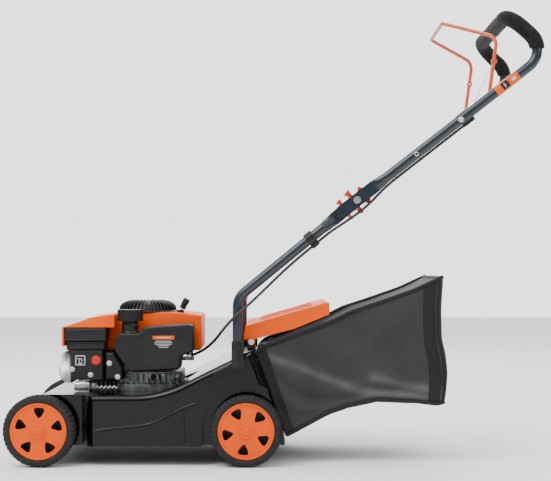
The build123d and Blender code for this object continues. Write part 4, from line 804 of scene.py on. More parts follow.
class MOWER_OT_cables(PieceOperator, bpy.types.Operator):
    """Adds the control cable, which crosses the handle's fold, and the starter rope"""

    bl_idname = "mower.cables"
    bl_label = "Cables"

    def execute(self, context):
        low_angle = atan2(0.564 - 0.357, 0.173 + 0.080)

        def under_leg(angle, distance, below):
            """A point under the left leg, at a distance from the fold bolt along it."""
            x = FOLD.x + distance * cos(angle) + below * sin(angle)
            return x, LEFT_LEG_Y, FOLD.z + distance * sin(angle) - below * cos(angle)

        route = [
            (-0.184, -0.092, 0.228),
            (-0.160, -0.112, 0.238),
            (-0.132, -0.160, 0.262),
            (-0.114, -0.200, 0.286),
            (-0.092, -0.216, 0.312),
            (-0.064, -0.215, 0.336),
            (-0.032, -0.205, 0.366),
            under_leg(low_angle, -0.200, 0.016),
            under_leg(low_angle, -0.112, 0.016),
            under_leg(low_angle, -0.084, 0.016),
            under_leg(low_angle, -0.050, 0.020),
            under_leg(SLOPE, 0.006, 0.024),
            under_leg(SLOPE, 0.066, 0.0144),
            under_leg(SLOPE, 0.116, 0.0144),
            under_leg(SLOPE, 0.196, 0.0144),
            under_leg(SLOPE, 0.2757, 0.0144),
        ]
        cable = tube("control_cable", route, CABLE_R, "black_pvc_sheath", sides=16)
        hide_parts("control_cable_lower", "control_cable_fold", "control_cable_upper")
        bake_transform(cable)
        low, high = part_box("brake_inner_wire")
        steps = 12
        wire_points = [
            Vector((low.x, (low.y + high.y) / 2, low.z)).lerp(Vector((high.x, (low.y + high.y) / 2, high.z)), i / steps)
            for i in range(steps + 1)
        ]
        wire = tube("inner_wire", wire_points, 0.0008, "turned_steel", sides=8)
        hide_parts("brake_inner_wire")
        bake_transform(wire)
        pull = Vector(JOINTS["starter_pull"]["axis"]).normalized()
        guide_low, guide_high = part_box("rope_guide")
        foot = Vector(((guide_low.x + guide_high.x) / 2, (guide_low.y + guide_high.y) / 2, guide_low.z + 0.008))
        rope_points = [foot + pull * (0.014 * i / 10 - 0.004) for i in range(11)]
        rope = tube("starter_rope", rope_points, 0.0018, "grey_screen_print", sides=12)
        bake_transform(rope)
        return {"FINISHED"}


class MOWER_OT_wheels(PieceOperator, bpy.types.Operator):
    """Adds the treaded tyres and the five-window wheels"""

    bl_idname = "mower.wheels"
    bl_label = "Wheels"

    TURNS = {"front_left": 16, "front_right": 40, "rear_left": 46, "rear_right": 10}

    def execute(self, context):
        for corner, turn in self.TURNS.items():
            low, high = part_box(f"tyre_{corner}")
            middle = (low + high) / 2
            out = -1 if middle.y < 0 else 1
            self.tyre(corner, middle, out)
            self.wheel(corner, middle, out, radians(turn))
        return {"FINISHED"}

    def tyre(self, corner, middle, out):
        lugs, depth = self.sizes.tread_lugs, self.sizes.tread_depth
        outer, inner, half = 0.0758, 0.0598, 0.0182
        profile = [
            (inner, -half + 0.003), (inner + 0.003, -half), (inner + 0.008, -half - 0.0006), (outer - 0.005, -half + 0.0004),
            (outer - 0.0018, -half + 0.002), (outer, -half + 0.0045), (outer, -0.0095), (outer, -0.0088), (outer, -0.0010),
            (outer, 0.0010), (outer, 0.0088), (outer, 0.0095), (outer, half - 0.0045), (outer - 0.0018, half - 0.002),
            (outer - 0.005, half - 0.0004), (inner + 0.008, half + 0.0006), (inner + 0.003, half), (inner, half - 0.003),
        ]

        def tread(angle, radius, height):
            if radius < outer - 0.003:
                return 0.0
            if abs(height) < 0.0011:
                return -depth
            row = 0.5 if abs(height) > 0.009 else 0.0
            share = (angle / (2 * pi) * lugs + row) % 1.0
            return -depth if share < 0.26 else 0.0

        made = lathe(
            f"tyre_{corner}_tread", profile, middle, (0, out, 0), "tyre_rubber", lugs * 6, closed=True, wave=tread
        )
        made.data.set_sharp_from_angle(angle=radians(40))
        place_piece(made, f"wheel_{corner}", "tyre_rubber", f"tyre_{corner}")

    def wheel(self, corner, middle, out, turn):
        rim_r, hub_r, half = 0.0598, 0.0165, 0.0178
        windows = []
        for i in range(5):
            angle = turn + 2 * pi * i / 5
            corners = [(0.0245, 0.0), (0.0500, -0.0160), (0.0500, 0.0160)]
            shape = rounded_outline(corners, [0.005, 0.0075, 0.0075], 5)
            windows.append(
                [
                    (p[0] * cos(angle) - p[1] * sin(angle), p[0] * sin(angle) + p[1] * cos(angle))
                    for p in shape
                ]
            )
        face_y = middle.y + out * (half - 0.0048)
        face = plate(
            f"wheel_{corner}_face", circle(rim_r - 0.003, 96), windows,
            side_place(middle.x, face_y, middle.z, out),
            0.004, 0.0007, "orange_moulded_abs",
        )
        rim = lathe(
            f"wheel_{corner}_rim",
            [
                (rim_r - 0.0045, -half), (rim_r, -half), (rim_r, half - 0.0008), (rim_r - 0.0008, half),
                (rim_r - 0.0032, half), (rim_r - 0.0042, half - 0.001), (rim_r - 0.0046, half - 0.0044),
            ],
            middle, (0, out, 0), "orange_moulded_abs", 96, closed=True,
        )
        boss = lathe(
            f"wheel_{corner}_boss",
            [
                (0.0, half + 0.0006), (0.0085, half + 0.0006), (0.0095, half + 0.0001), (0.0100, half - 0.0007),
                (0.0112, half - 0.0008), (0.0125, half + 0.0002), (0.0142, half + 0.0002), (0.0155, half - 0.0008),
                (hub_r, half - 0.0042), (hub_r, -half + 0.001), (0.0065, -half + 0.001), (0.0065, half - 0.009),
                (0.0, half - 0.009),
            ],
            middle, (0, out, 0), "orange_moulded_abs", 64,
        )
        ribs = []
        for i in range(5):
            angle = turn + 2 * pi * (i + 0.5) / 5
            way = Vector((cos(angle), 0, sin(angle))) if out < 0 else Vector((-cos(angle), 0, sin(angle)))
            side = way.cross(Vector((0, 1, 0)))
            near, far = middle + way * (hub_r - 0.001), middle + way * (rim_r - 0.004)
            points = []
            for end in (near, far):
                for across in (-0.0011, 0.0011):
                    for deep in (half - 0.0065, -half + 0.006):
                        points.append(end + side * across + Vector((0, out * deep, 0)))
            faces = [(0, 1, 3, 2), (4, 6, 7, 5), (0, 4, 5, 1), (2, 3, 7, 6), (0, 2, 6, 4), (1, 5, 7, 3)]
            ribs.append(from_faces("rib", points, faces, "orange_moulded_abs", False))
        made = join(f"wheel_{corner}_moulding", [face, rim, boss] + ribs)
        place_piece(made, f"wheel_{corner}", "orange_plastic", f"wheel_{corner}")
        backing = lathe(
            f"wheel_{corner}_backing",
            [(hub_r, -half + 0.004), (rim_r - 0.005, -half + 0.004), (rim_r - 0.005, -half + 0.006), (hub_r, -half + 0.006)],
            middle, (0, out, 0), "black_moulded_polypropylene", 64, closed=True,
        )
        backing.data.set_sharp_from_angle(angle=radians(35))
        place_piece(backing, f"wheel_{corner}", "black_plastic")


class MOWER_OT_covers(PieceOperator, bpy.types.Operator):
    """Adds the orange cowl, the ribbed starter cover and the engine's small fixings"""

    bl_idname = "mower.covers"
    bl_label = "Engine covers"

    def execute(self, context):
        low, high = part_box("blower_housing")
        left_y, top, bottom = -0.066, high.z, low.z
        front, rear = low.x, high.x
        outline = [
            (front, bottom), (front, top - 0.034), (front + 0.010, top - 0.029), (front + 0.062, top - 0.010),
            (front + 0.145, top), (rear - 0.060, top), (rear, top - 0.007), (rear, bottom),
        ]
        cowl = prism("cowl", outline, left_y, high.y, "orange_moulded_abs", 0.0045, 5)
        nose_rear = front + 0.114
        nose = [
            (front, top - 0.032), (front + 0.010, top - 0.029), (front + 0.062, top - 0.010), (nose_rear, top - 0.0035),
            (nose_rear, top - 0.032),
        ]
        nose_piece = prism("nose", nose, low.y, left_y + 0.02, "orange_moulded_abs", 0.0055, 4)
        skirt = block(
            "skirt",
            (front - 0.0008, low.y, 0.2485),
            (front + 0.0038, left_y + 0.02, top - 0.030),
            "orange_moulded_abs",
            0.0018,
            3,
        )
        made = join("cowl_moulding", [cowl, nose_piece, skirt])
        place_piece(made, "mower", "orange_plastic", "blower_housing")
        self.dome()
        self.screws()
        self.casting()
        self.guard()
        return {"FINISHED"}

    def casting(self):
        """Gussets, bolt bosses and a bracket on the engine's left side."""
        cast = []
        low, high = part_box("crankcase")
        flange_top, wall_y = low.z + 0.014, -0.075
        gusset = ((wall_y, flange_top), (-0.0885, flange_top), (wall_y, 0.1885))
        gusset_faces = [(0, 1, 2), (3, 5, 4), (0, 3, 4, 1), (1, 4, 5, 2), (2, 5, 3, 0)]
        gussets, pitch, half = 11, 0.0125, 0.0014
        for i in range(gussets):
            x = low.x + 0.022 + i * pitch
            points = [(x + side * half, y, z) for side in (-1, 1) for y, z in gusset]
            cast.append(from_faces("gusset", points, gusset_faces, "die_cast_aluminium", False))
        for x, z, radius in ((-0.269, 0.180, 0.0105), (-0.322, 0.178, 0.008), (-0.222, 0.178, 0.008)):
            cast.append(
                lathe(
                    "boss",
                    [
                        (0.0, 0.0165), (radius * 0.45, 0.0165), (radius * 0.5, 0.0135), (radius, 0.0135),
                        (radius * 1.15, 0.0), (0.0, 0.0),
                    ],
                    (x, wall_y, z), (0, -1, 0), "die_cast_aluminium", 32,
                )
            )
        rail_low, rail_high = (low.x + 0.012, -0.0795, 0.186), (high.x - 0.03, wall_y, 0.191)
        cast.append(block("rail", rail_low, rail_high, "die_cast_aluminium", 0.001, 2))
        place_piece(join("crankcase_ribs", cast), "mower", "cast_aluminium")
        bracket = [
            block("bracket", (-0.441, -0.1165, 0.152), (-0.406, -0.088, 0.1705), "zinc_plated_steel", 0.003, 3),
            block("arm", (-0.432, -0.111, 0.166), (-0.414, -0.09, 0.178), "zinc_plated_steel", 0.002, 2),
            lathe(
                "bowl_nut", [(0.0, 0.0), (0.007, 0.0), (0.007, 0.009), (0.0, 0.009)], (-0.398, -0.1, 0.158), (0, 0, 1),
                "zinc_plated_steel", 6,
            ),
        ]
        place_piece(join("throttle_bracket", bracket), "mower", "zinc_steel")
        screw = screw_head("case_screw", (-0.269, wall_y - 0.0165, 0.180), (0, -1, 0), 0.0048, "black_oxide_steel")
        place_piece(screw, "mower", "black_steel")
        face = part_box("carburettor_cover")[0].y - 0.0002
        sign = []
        x, z, half, line = -0.4265, 0.2185, 0.0098, 0.0011
        for dx, dz, wide, tall in (
            (0, half, half + line, line), (0, -half, half + line, line), (half, 0, line, half), (-half, 0, line, half),
            (-0.002, 0.0035, 0.0048, 0.0009), (-0.002, -0.0005, 0.0009, 0.0042), (0.0035, 0.0005, 0.0012, 0.0022),
            (0.0, -0.0062, 0.0042, 0.0010),
        ):
            corners = [(-wide, -tall), (wide, -tall), (wide, tall), (-wide, tall)]
            sign.append(plate("mark", corners, [], side_place(x + dx, face, z + dz), 0.0008, 0.0001, "grey_screen_print"))
        place_piece(join("cover_symbol", sign), "mower", "black_plastic")

    def guard(self):
        """The rolled exhaust guard, with its pressed louvres."""
        outline = [
            (-0.4490, 0.2380), (-0.4610, 0.2368), (-0.4700, 0.2300), (-0.4752, 0.2190), (-0.4765, 0.2040),
            (-0.4752, 0.1880), (-0.4700, 0.1760), (-0.4610, 0.1692), (-0.4490, 0.1680),
        ]
        outer = [tuple(p) for p in outline]
        inner = [(x + 0.0015, z) for x, z in reversed(outer)]
        sheet = prism("sheet", outer + inner, -0.1035, 0.1160, "silver_heat_paint", 0.0004, 1)
        left_end = prism("end", outer, -0.1040, -0.1025, "silver_heat_paint", 0.0005, 1)
        right_end = prism(
            "end", [(-0.4000, 0.238)] + outer + [(-0.4000, 0.168)], 0.1145, 0.1160, "silver_heat_paint", 0.0005, 1
        )
        louvres = []
        for y in (0.028, 0.052, 0.076, 0.098):
            for z in (0.186, 0.198, 0.210, 0.222):
                corner, opposite = (-0.4782, y - 0.008, z - 0.0022), (-0.4740, y + 0.008, z + 0.0022)
                louvres.append(block("louvre", corner, opposite, "silver_heat_paint", 0.0012, 2))
        made = join("muffler_guard_sheet", [sheet, left_end, right_end] + louvres)
        place_piece(made, "mower", "muffler_silver", "muffler_guard")

    def dome(self):
        low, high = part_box("recoil_housing")
        middle = Vector(((low.x + high.x) / 2, (low.y + high.y) / 2, 0))
        foot, top = low.z, high.z
        profile = [
            (0.0, top - 0.0006), (0.026, top - 0.0006), (0.029, top - 0.0022), (0.040, top - 0.0048), (0.050, top - 0.0085),
            (0.0565, top - 0.0135), (0.0600, foot + 0.006), (0.0605, foot + 0.0045), (0.066, foot + 0.003),
            (0.0695, foot + 0.0016), (0.0695, foot),
        ]
        shell = lathe("dome_shell", profile, middle, (0, 0, 1), "black_moulded_polypropylene", 96)
        ribs = []
        for i in range(self.sizes.dome_ribs):
            angle = 2 * pi * i / self.sizes.dome_ribs
            way = Vector((cos(angle), sin(angle), 0))
            side = Vector((-sin(angle), cos(angle), 0)) * 0.0011
            spine = [
                (0.0570, foot + 0.003), (0.0655, foot + 0.003), (0.0640, top - 0.0150), (0.0590, top - 0.0082),
                (0.0500, top - 0.0032), (0.0390, top - 0.0004), (0.0300, top - 0.0002), (0.0270, top - 0.0040),
            ]
            points = [middle + way * r + Vector((0, 0, z)) + side * s for s in (-1, 1) for r, z in spine]
            size = len(spine)
            faces = [(j, (j + 1) % size, size + (j + 1) % size, size + j) for j in range(size)]
            faces += [tuple(range(size)), tuple(range(size, 2 * size))]
            ribs.append(from_faces("rib", points, faces, "black_moulded_polypropylene", False))
        made = join("starter_cover", [shell] + ribs)
        place_piece(made, "mower", "black_plastic", "recoil_housing")

    def screws(self):
        plate_low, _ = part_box("carburettor_cover")
        face = plate_low.y - 0.0002
        spots = (
            ("cover_screw_front", (-0.444, face - 0.0006, 0.199), 0.0042),
            ("cover_screw_low", (-0.404, face - 0.0006, 0.187), 0.0042),
        )
        for name, at, radius in spots:
            place_piece(screw_head(name, at, (0, -1, 0), radius), "mower", "zinc_steel")
        low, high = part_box("breather_housing")
        for name, at in (
            ("breather_screw_low", ((low.x + high.x) / 2 + 0.008, low.y - 0.0002, low.z + 0.010)),
            ("breather_screw_rear", ((low.x + high.x) / 2 - 0.010, low.y - 0.0002, low.z + 0.040)),
        ):
            place_piece(screw_head(name, at, (0, -1, 0), 0.0042), "mower", "zinc_steel")


class MOWER_OT_tank(PieceOperator, bpy.types.Operator):
    """Adds the moulded fuel tank with its neck and printed panel"""

    bl_idname = "mower.tank"
    bl_label = "Fuel tank"

    def execute(self, context):
        low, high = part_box("fuel_tank")
        outline = [
            (-0.327, 0.207), (-0.317, 0.194), (-0.212, 0.199), (-0.206, 0.207), (-0.206, 0.228), (-0.178, 0.239),
            (-0.179, 0.296), (-0.190, 0.298), (-0.283, 0.292), (-0.298, 0.278), (-0.341, 0.278), (-0.350, 0.262),
            (-0.349, 0.240),
        ]
        radii = [0.012, 0.008, 0.008, 0.006, 0.010, 0.010, 0.008, 0.010, 0.016, 0.012, 0.008, 0.014, 0.014]
        smooth = rounded_outline(outline, radii, 5)
        body = prism("tank_body", smooth, low.y, high.y, "black_moulded_polypropylene", 0.0075, 5)
        middle_y, seam_half, seam_proud = (low.y + high.y) / 2, 0.001, 0.0012
        seam = prism(
            "tank_seam", [self.grown(p, smooth, seam_proud) for p in smooth], middle_y - seam_half, middle_y + seam_half,
            "black_moulded_polypropylene", 0.0004, 1,
        )
        neck_low, neck_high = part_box("fuel_cap")
        neck_middle = ((neck_low.x + neck_high.x) / 2, (neck_low.y + neck_high.y) / 2, 0)
        neck = lathe(
            "tank_neck",
            [
                (0.0150, 0.272), (0.0205, 0.2775), (0.0178, 0.281), (0.0174, 0.290), (0.0190, 0.2925), (0.0190, 0.2955),
                (0.0174, 0.298), (0.0174, 0.3095), (0.0150, 0.3095), (0.0150, 0.272),
            ],
            neck_middle, (0, 0, 1), "black_moulded_polypropylene", 48,
        )
        made = join("fuel_tank_moulding", [body, seam, neck])
        place_piece(made, "mower", "black_plastic", "fuel_tank")
        panel = low.y - 0.0004
        heading = plate(
            "tank_heading", [(-0.0235, -0.004), (0.0235, -0.004), (0.0235, 0.004), (-0.0235, 0.004)], [],
            side_place(-0.2435, panel, 0.2690), 0.0008, 0.0001, "orange_printed_vinyl",
        )
        place_piece(heading, "mower", "orange_plastic")
        bars = []
        for x, z, wide, tall in (
            (-0.2435, 0.2690, 0.030, 0.0016), (-0.2435, 0.2612, 0.034, 0.0013), (-0.2435, 0.2578, 0.040, 0.0013),
            (-0.2435, 0.2544, 0.036, 0.0013), (-0.2435, 0.2510, 0.026, 0.0013), (-0.2435, 0.2476, 0.020, 0.0013),
        ):
            corners = [(-wide / 2, -tall / 2), (wide / 2, -tall / 2), (wide / 2, tall / 2), (-wide / 2, tall / 2)]
            bars.append(
                plate("bar", corners, [], side_place(x, panel - 0.0002, z), 0.0008, 0.0001, "grey_screen_print")
            )
        place_piece(join("tank_print", bars), "mower", "black_plastic")
        return {"FINISHED"}

    def grown(self, point, outline, amount):
        """A point of the outline moved out from its middle."""
        middle = Vector((sum(p[0] for p in outline), sum(p[1] for p in outline))) / len(outline)
        way = Vector(point) - middle
        return tuple(Vector(point) + way.normalized() * amount)


class MOWER_OT_boxes(PieceOperator, bpy.types.Operator):
    """Adds the moulded intake boxes, with their softened edges"""

    bl_idname = "mower.boxes"
    bl_label = "Intake boxes"

    def execute(self, context):
        low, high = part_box("air_filter_cover")
        cover = block("filter_cover", low, high, "black_moulded_polypropylene", 0.005, 4)
        lip = block(
            "lip", (low.x + 0.001, low.y - 0.0002, low.z), (high.x + 0.0005, high.y, low.z + 0.003),
            "black_moulded_polypropylene", 0.0008, 2,
        )
        place_piece(join("filter_cover_moulding", [cover, lip]), "air_filter_cover", "black_plastic", "air_filter_cover")
        low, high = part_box("air_filter_box")
        box = block("filter_box", low, high, "black_moulded_polypropylene", 0.003, 3)
        ridge = block(
            "ridge", (low.x - 0.001, low.y - 0.001, high.z - 0.005), (high.x + 0.001, high.y, high.z - 0.002),
            "black_moulded_polypropylene", 0.0008, 2,
        )
        place_piece(join("filter_box_moulding", [box, ridge]), "mower", "black_plastic", "air_filter_box")
        return {"FINISHED"}


class MOWER_OT_deck_trim(PieceOperator, bpy.types.Operator):
    """Adds the creases and pads pressed into the deck's sides"""

    bl_idname = "mower.deck_trim"
    bl_label = "Deck pressing"

    WALL_Y = 0.205
    CREASE = [
        (-0.383, 0.075), (-0.357, 0.079), (-0.310, 0.083), (-0.268, 0.088), (-0.234, 0.103), (-0.200, 0.122), (-0.170, 0.133),
    ]
    STEP = [(-0.196, 0.119), (-0.1945, 0.100), (-0.1935, 0.075), (-0.1935, 0.045)]

    def execute(self, context):
        for side, sign in (("left", -1), ("right", 1)):
            pressed = []
            for name, line, radius in (("crease", self.CREASE, 0.0034), ("step", self.STEP, 0.0026)):
                route = [(x, sign * (self.WALL_Y - 0.0012), z) for x, z in line]
                pressed.append(tube(name, route, radius, "black_powder_coat", sides=16))
            pad = rounded_outline([(-0.024, -0.008), (0.024, -0.008), (0.024, 0.008), (-0.024, 0.008)], 0.0078, 6)
            turn = Matrix.Rotation(radians(25 if sign < 0 else -25), 4, "Z")
            place = side_place(-0.111, sign * (self.WALL_Y + 0.0006), 0.199, sign) @ turn
            pressed.append(plate("pad", pad, [], place, 0.003, 0.0012, "black_powder_coat"))
            place_piece(join(f"deck_pressing_{side}", pressed), "mower", "black_deck_paint")
        return {"FINISHED"}


class MOWER_OT_handle_trim(PieceOperator, bpy.types.Operator):
    """Adds the label, the tube's ringed hole and the screws on the handle"""

    bl_idname = "mower.handle_trim"
    bl_label = "Handle trim"

    def execute(self, context):
        start, length = 0.372, self.sizes.label_length
        axis = Vector((cos(SLOPE), 0, sin(SLOPE)))
        label = lathe(
            "label_film",
            [(TUBE_R + 0.00005, 0.0), (TUBE_R + 0.0004, 0.0), (TUBE_R + 0.0004, length), (TUBE_R + 0.00005, length)],
            leg_point(start), axis, "orange_printed_vinyl", 48, closed=True,
        )
        label.data.set_sharp_from_angle(angle=radians(35))
        place_piece(label, "upper_handle", "orange_plastic")
        self.grip()
        for name, first, last, spread, finish, slot in (
            ("label_window", 0.016, 0.033, 0.75, "black_moulded_polypropylene", "black_plastic"),
            ("label_mark_wide", 0.022, 0.025, 0.4, "grey_screen_print", "black_plastic"),
            ("label_mark_end", 0.041, 0.052, 0.28, "grey_screen_print", "black_plastic"),
        ):
            self.patch(name, start + first, start + last, spread, finish, slot, 0.0006 if "mark" not in name else 0.0008)
        ring_at = leg_point(0.1585, 0.0, LEFT_LEG_Y - TUBE_R)
        ring = lathe(
            "hole_ring",
            [(0.0028, 0.0008), (0.0036, 0.0014), (0.0046, 0.0010), (0.0050, -0.001), (0.0028, -0.001)],
            ring_at, (0, -1, 0), "zinc_plated_steel", 32, closed=True,
        )
        place_piece(ring, "upper_handle", "zinc_steel")
        screw = screw_head("cable_stop_screw", leg_point(0.277, 0.0, LEFT_LEG_Y - TUBE_R - 0.0028), (0, -1, 0), 0.0052)
        place_piece(screw, "upper_handle", "zinc_steel")
        clip = screw_head("cable_stop_tail", leg_point(0.302, -0.0165), (0.5, 0, -1), 0.0032)
        place_piece(clip, "upper_handle", "zinc_steel")
        return {"FINISHED"}

    def grip(self):
        """The foam sleeve, softened at its ends and slightly uneven along its length."""
        source = frame["nodes"]["foam_grip"]
        sleeve = link("foam_sleeve", source.data.copy(), "grip_foam")
        sleeve.data.materials.clear()
        sleeve.data.materials.append(FINISHES["grip_foam"])
        sleeve.matrix_world = source.matrix_world.copy()
        even = sleeve.modifiers.new("even", "REMESH")
        even.mode = "VOXEL"
        even.voxel_size = 0.0026
        ease = sleeve.modifiers.new("ease", "SMOOTH")
        ease.factor = 0.5
        ease.iterations = 3
        apply_modifiers(sleeve)
        for vertex in sleeve.data.vertices:
            vertex.co += vertex.normal * (0.0005 * noise.noise(vertex.co * 28) - 0.0002)
        sleeve.data.shade_smooth()
        place_piece(sleeve, "upper_handle", "foam", "foam_grip")

    def patch(self, name, first, last, spread, finish, slot, proud):
        """A curved patch of the label, facing the mower's left."""
        steps = 8
        points = []
        for distance in (first, last):
            for i in range(steps + 1):
                angle = -spread + 2 * spread * i / steps
                off = TUBE_R + proud
                base = leg_point(distance)
                up = Vector((-sin(SLOPE), 0, cos(SLOPE)))
                points.append(base + up * off * sin(angle) + Vector((0, -1, 0)) * off * cos(angle))
        faces = [(i, i + 1, steps + 2 + i, steps + 1 + i) for i in range(steps)]
        piece = from_faces(name, points, faces, finish)
        thick = piece.modifiers.new("thick", "SOLIDIFY")
        thick.thickness = 0.0003
        thick.offset = -1
        apply_modifiers(piece)
        place_piece(piece, "upper_handle", slot)


class MOWER_OT_flap(PieceOperator, bpy.types.Operator):
    """Adds the details moulded on the rear flap"""

    bl_idname = "mower.flap"
    bl_label = "Rear flap"

    def execute(self, context):
        slope = radians(16.1)
        top = Vector((-0.0647, 0, 0.296))
        along = Vector((cos(slope), 0, sin(slope)))
        up = Vector((-sin(slope), 0, cos(slope)))
        rails = []
        for y in (-0.11, -0.055, 0.0, 0.055, 0.11):
            points = []
            for distance, high_off in ((0.03, 0.0), (0.036, 0.0016), (0.150, 0.0016), (0.156, 0.0)):
                points.append(top + along * distance + up * (high_off - 0.0004) + Vector((0, y - 0.003, 0)))
                points.append(top + along * distance + up * (high_off - 0.0004) + Vector((0, y + 0.003, 0)))
            faces = [(0, 1, 3, 2), (2, 3, 5, 4), (4, 5, 7, 6), (0, 2, 4, 6), (1, 7, 5, 3), (0, 6, 7, 1)]
            rails.append(from_faces("rail", points, faces, "orange_moulded_abs", False))
        made = join("flap_rails", rails)
        place_piece(made, "rear_flap", "orange_plastic")
        return {"FINISHED"}


class MOWER_OT_bag(PieceOperator, bpy.types.Operator):
    """Adds the fabric grass bag with its bindings"""

    bl_idname = "mower.bag"
    bl_label = "Grass bag"

    TOP = [
        (-0.0385, 0.236), (-0.026, 0.250), (0.040, 0.2745), (0.112, 0.301), (0.160, 0.3255), (0.225, 0.347), (0.297, 0.372),
        (0.3605, 0.4015),
    ]
    FOOT = [
        (0.0235, 0.0605), (0.045, 0.0715), (0.080, 0.0905), (0.117, 0.1105), (0.157, 0.1245), (0.220, 0.1375),
        (0.300, 0.1335), (0.350, 0.1275), (0.3640, 0.1330),
    ]
    REAR_SWELL = [(0.0, 0.0), (0.12, 0.005), (0.23, 0.007), (0.38, 0.0030), (0.52, -0.0055), (0.80, -0.0050), (1.0, 0.0)]
    STATIONS, AROUND = 56, 160  # rings along the bag, and points in a ring
    MOUTH_TAPE = 3  # rings under the mouth's tape
    REAR_TAPE = (50, 53)  # first and last ring under the tape before the rear panel
    REAR_WIRE = (54, 57)  # rings that the rear wire holds
    CORNER_R = 0.008
    RIDGES = [[(-0.016, 0.231), (0.185, 0.156), (0.356, 0.140)], [(0.209, 0.186), (0.356, 0.154)]]

    def point_on(self, line, share):
        """A point at a share of the way along a line of points."""
        lengths = [hypot(b[0] - a[0], b[1] - a[1]) for a, b in zip(line, line[1:])]
        target = share * sum(lengths)
        for (a, b), length in zip(zip(line, line[1:]), lengths):
            if target <= length or b is line[-1]:
                t = min(1.0, target / length)
                return Vector((a[0] + (b[0] - a[0]) * t, a[1] + (b[1] - a[1]) * t))
            target -= length

    def section(self, tall, turn, half):
        """A place round the rounded cross-section: across from -1 to 1, and rise from the foot, 0, to the top, 1."""
        corner = self.CORNER_R
        flat, wall, arc = half - corner, tall - 2 * corner, corner * pi / 2
        whole = 2 * flat + wall + 2 * arc
        along = turn / pi * whole
        sign = 1 if along <= whole else -1
        along = min(along, 2 * whole - along)
        if along < flat:
            y, z = along, 0.0
        elif along < flat + arc:
            angle = (along - flat) / corner
            y, z = flat + corner * sin(angle), corner * (1 - cos(angle))
        elif along < flat + arc + wall:
            y, z = half, corner + along - flat - arc
        elif along < flat + 2 * arc + wall:
            angle = (along - flat - arc - wall) / corner
            y, z = flat + corner * cos(angle), tall - corner * (1 - sin(angle))
        else:
            y, z = whole - along, tall
        return sign * y / half, z / tall

    def ring_point(self, share, turn, half):
        """A point of the bag's cross-section at a share of its length, and how high up the section it is."""
        top = self.point_on(self.TOP, share)
        foot = self.point_on(self.FOOT, share)
        across, rise = self.section((top - foot).length, turn, half)
        side = foot.lerp(top, rise)
        for (low_at, low_by), (high_at, high_by) in zip(self.REAR_SWELL, self.REAR_SWELL[1:]):
            if low_at <= rise <= high_at:
                swell = low_by + (high_by - low_by) * (rise - low_at) / (high_at - low_at)
        swell *= max(0.0, (share - 0.6) / 0.4)
        return Vector((side.x + swell, half * across, side.y)), rise

    def ridge(self, x, z):
        """How strongly a pulled crease stands out at a place on the bag's side."""
        strength = 0.0
        for line in self.RIDGES:
            for a, b in zip(line, line[1:]):
                a, b, p = Vector(a), Vector(b), Vector((x, z))
                t = max(0.0, min(1.0, (p - a).dot(b - a) / (b - a).length_squared))
                away = (p - a.lerp(b, t)).length / 0.011
                strength = max(strength, 1 / (1 + away * away))
        return strength

    def execute(self, context):
        low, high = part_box("grass_bag")
        half = high.y - 0.003
        sag = self.sizes.bag_sag
        stations, around = self.STATIONS, self.AROUND
        points = []
        for i in range(stations + 1):
            share = i / stations
            for j in range(around):
                turn = 2 * pi * (j + 0.5) / around
                p, rise = self.ring_point(share, turn, half)
                points.append(self.hang(p, share, rise, half, sag))
        faces = []
        for i in range(stations):
            for j in range(around):
                k = (j + 1) % around
                faces.append((i * around + j, i * around + k, (i + 1) * around + k, (i + 1) * around + j))
        # The rear panel closes in rings that shrink to its middle.
        last = [points[stations * around + j] for j in range(around)]
        middle = sum(last, Vector()) / around
        rings = 14
        start = stations * around
        for ring in range(1, rings):
            t = ring / rings
            base = len(points)
            for j in range(around):
                p = last[j].lerp(middle, t)
                swell = 0.010 * (1 - (1 - t) ** 2.0)
                ripple = 0.0025 * noise.noise(Vector((p.y * 22, p.z * 16, 3.1)))
                points.append(p + Vector((swell + ripple * t, 0, 0)))
            for j in range(around):
                k = (j + 1) % around
                faces.append((start + j, start + k, base + k, base + j))
            start = base
        points.append(middle + Vector((0.0102, 0, 0)))
        tip = len(points) - 1
        faces += [(start + j, start + (j + 1) % around, tip) for j in range(around)]
        bag = from_faces("bag_cloth", points, faces, "woven_bag_polyester")
        bag.data.materials.append(FINISHES["black_binding_tape"])
        for number, face in enumerate(bag.data.polygons):
            row = number // around
            taped = row < self.MOUTH_TAPE or self.REAR_TAPE[0] <= row <= self.REAR_TAPE[1]
            face.material_index = int(taped)
        # painted highlight: stores on each point how strongly a pulled crease runs there, broken up by noise, so that
        # the cloth material paints the creases lighter
        painted_ridge_highlight = bag.data.attributes.new("painted_ridge_highlight", "FLOAT", "POINT")
        for vertex, value in zip(bag.data.vertices, painted_ridge_highlight.data):
            broken = 0.75 + 0.5 * noise.noise(vertex.co * 30)
            value.value = 0.55 * broken * self.ridge(vertex.co.x, vertex.co.z) ** 2
        self.settle(bag, half)
        thick = bag.modifiers.new("cloth_thickness", "SOLIDIFY")
        thick.thickness = 0.0012
        thick.offset = -1
        finer = bag.modifiers.new("finer", "SUBSURF")
        finer.levels = finer.render_levels = 1
        apply_modifiers(bag)
        bag.data.shade_smooth()
        place_piece(bag, "grass_bag", "bag_fabric", "grass_bag")
        self.bindings(half)
        return {"FINISHED"}

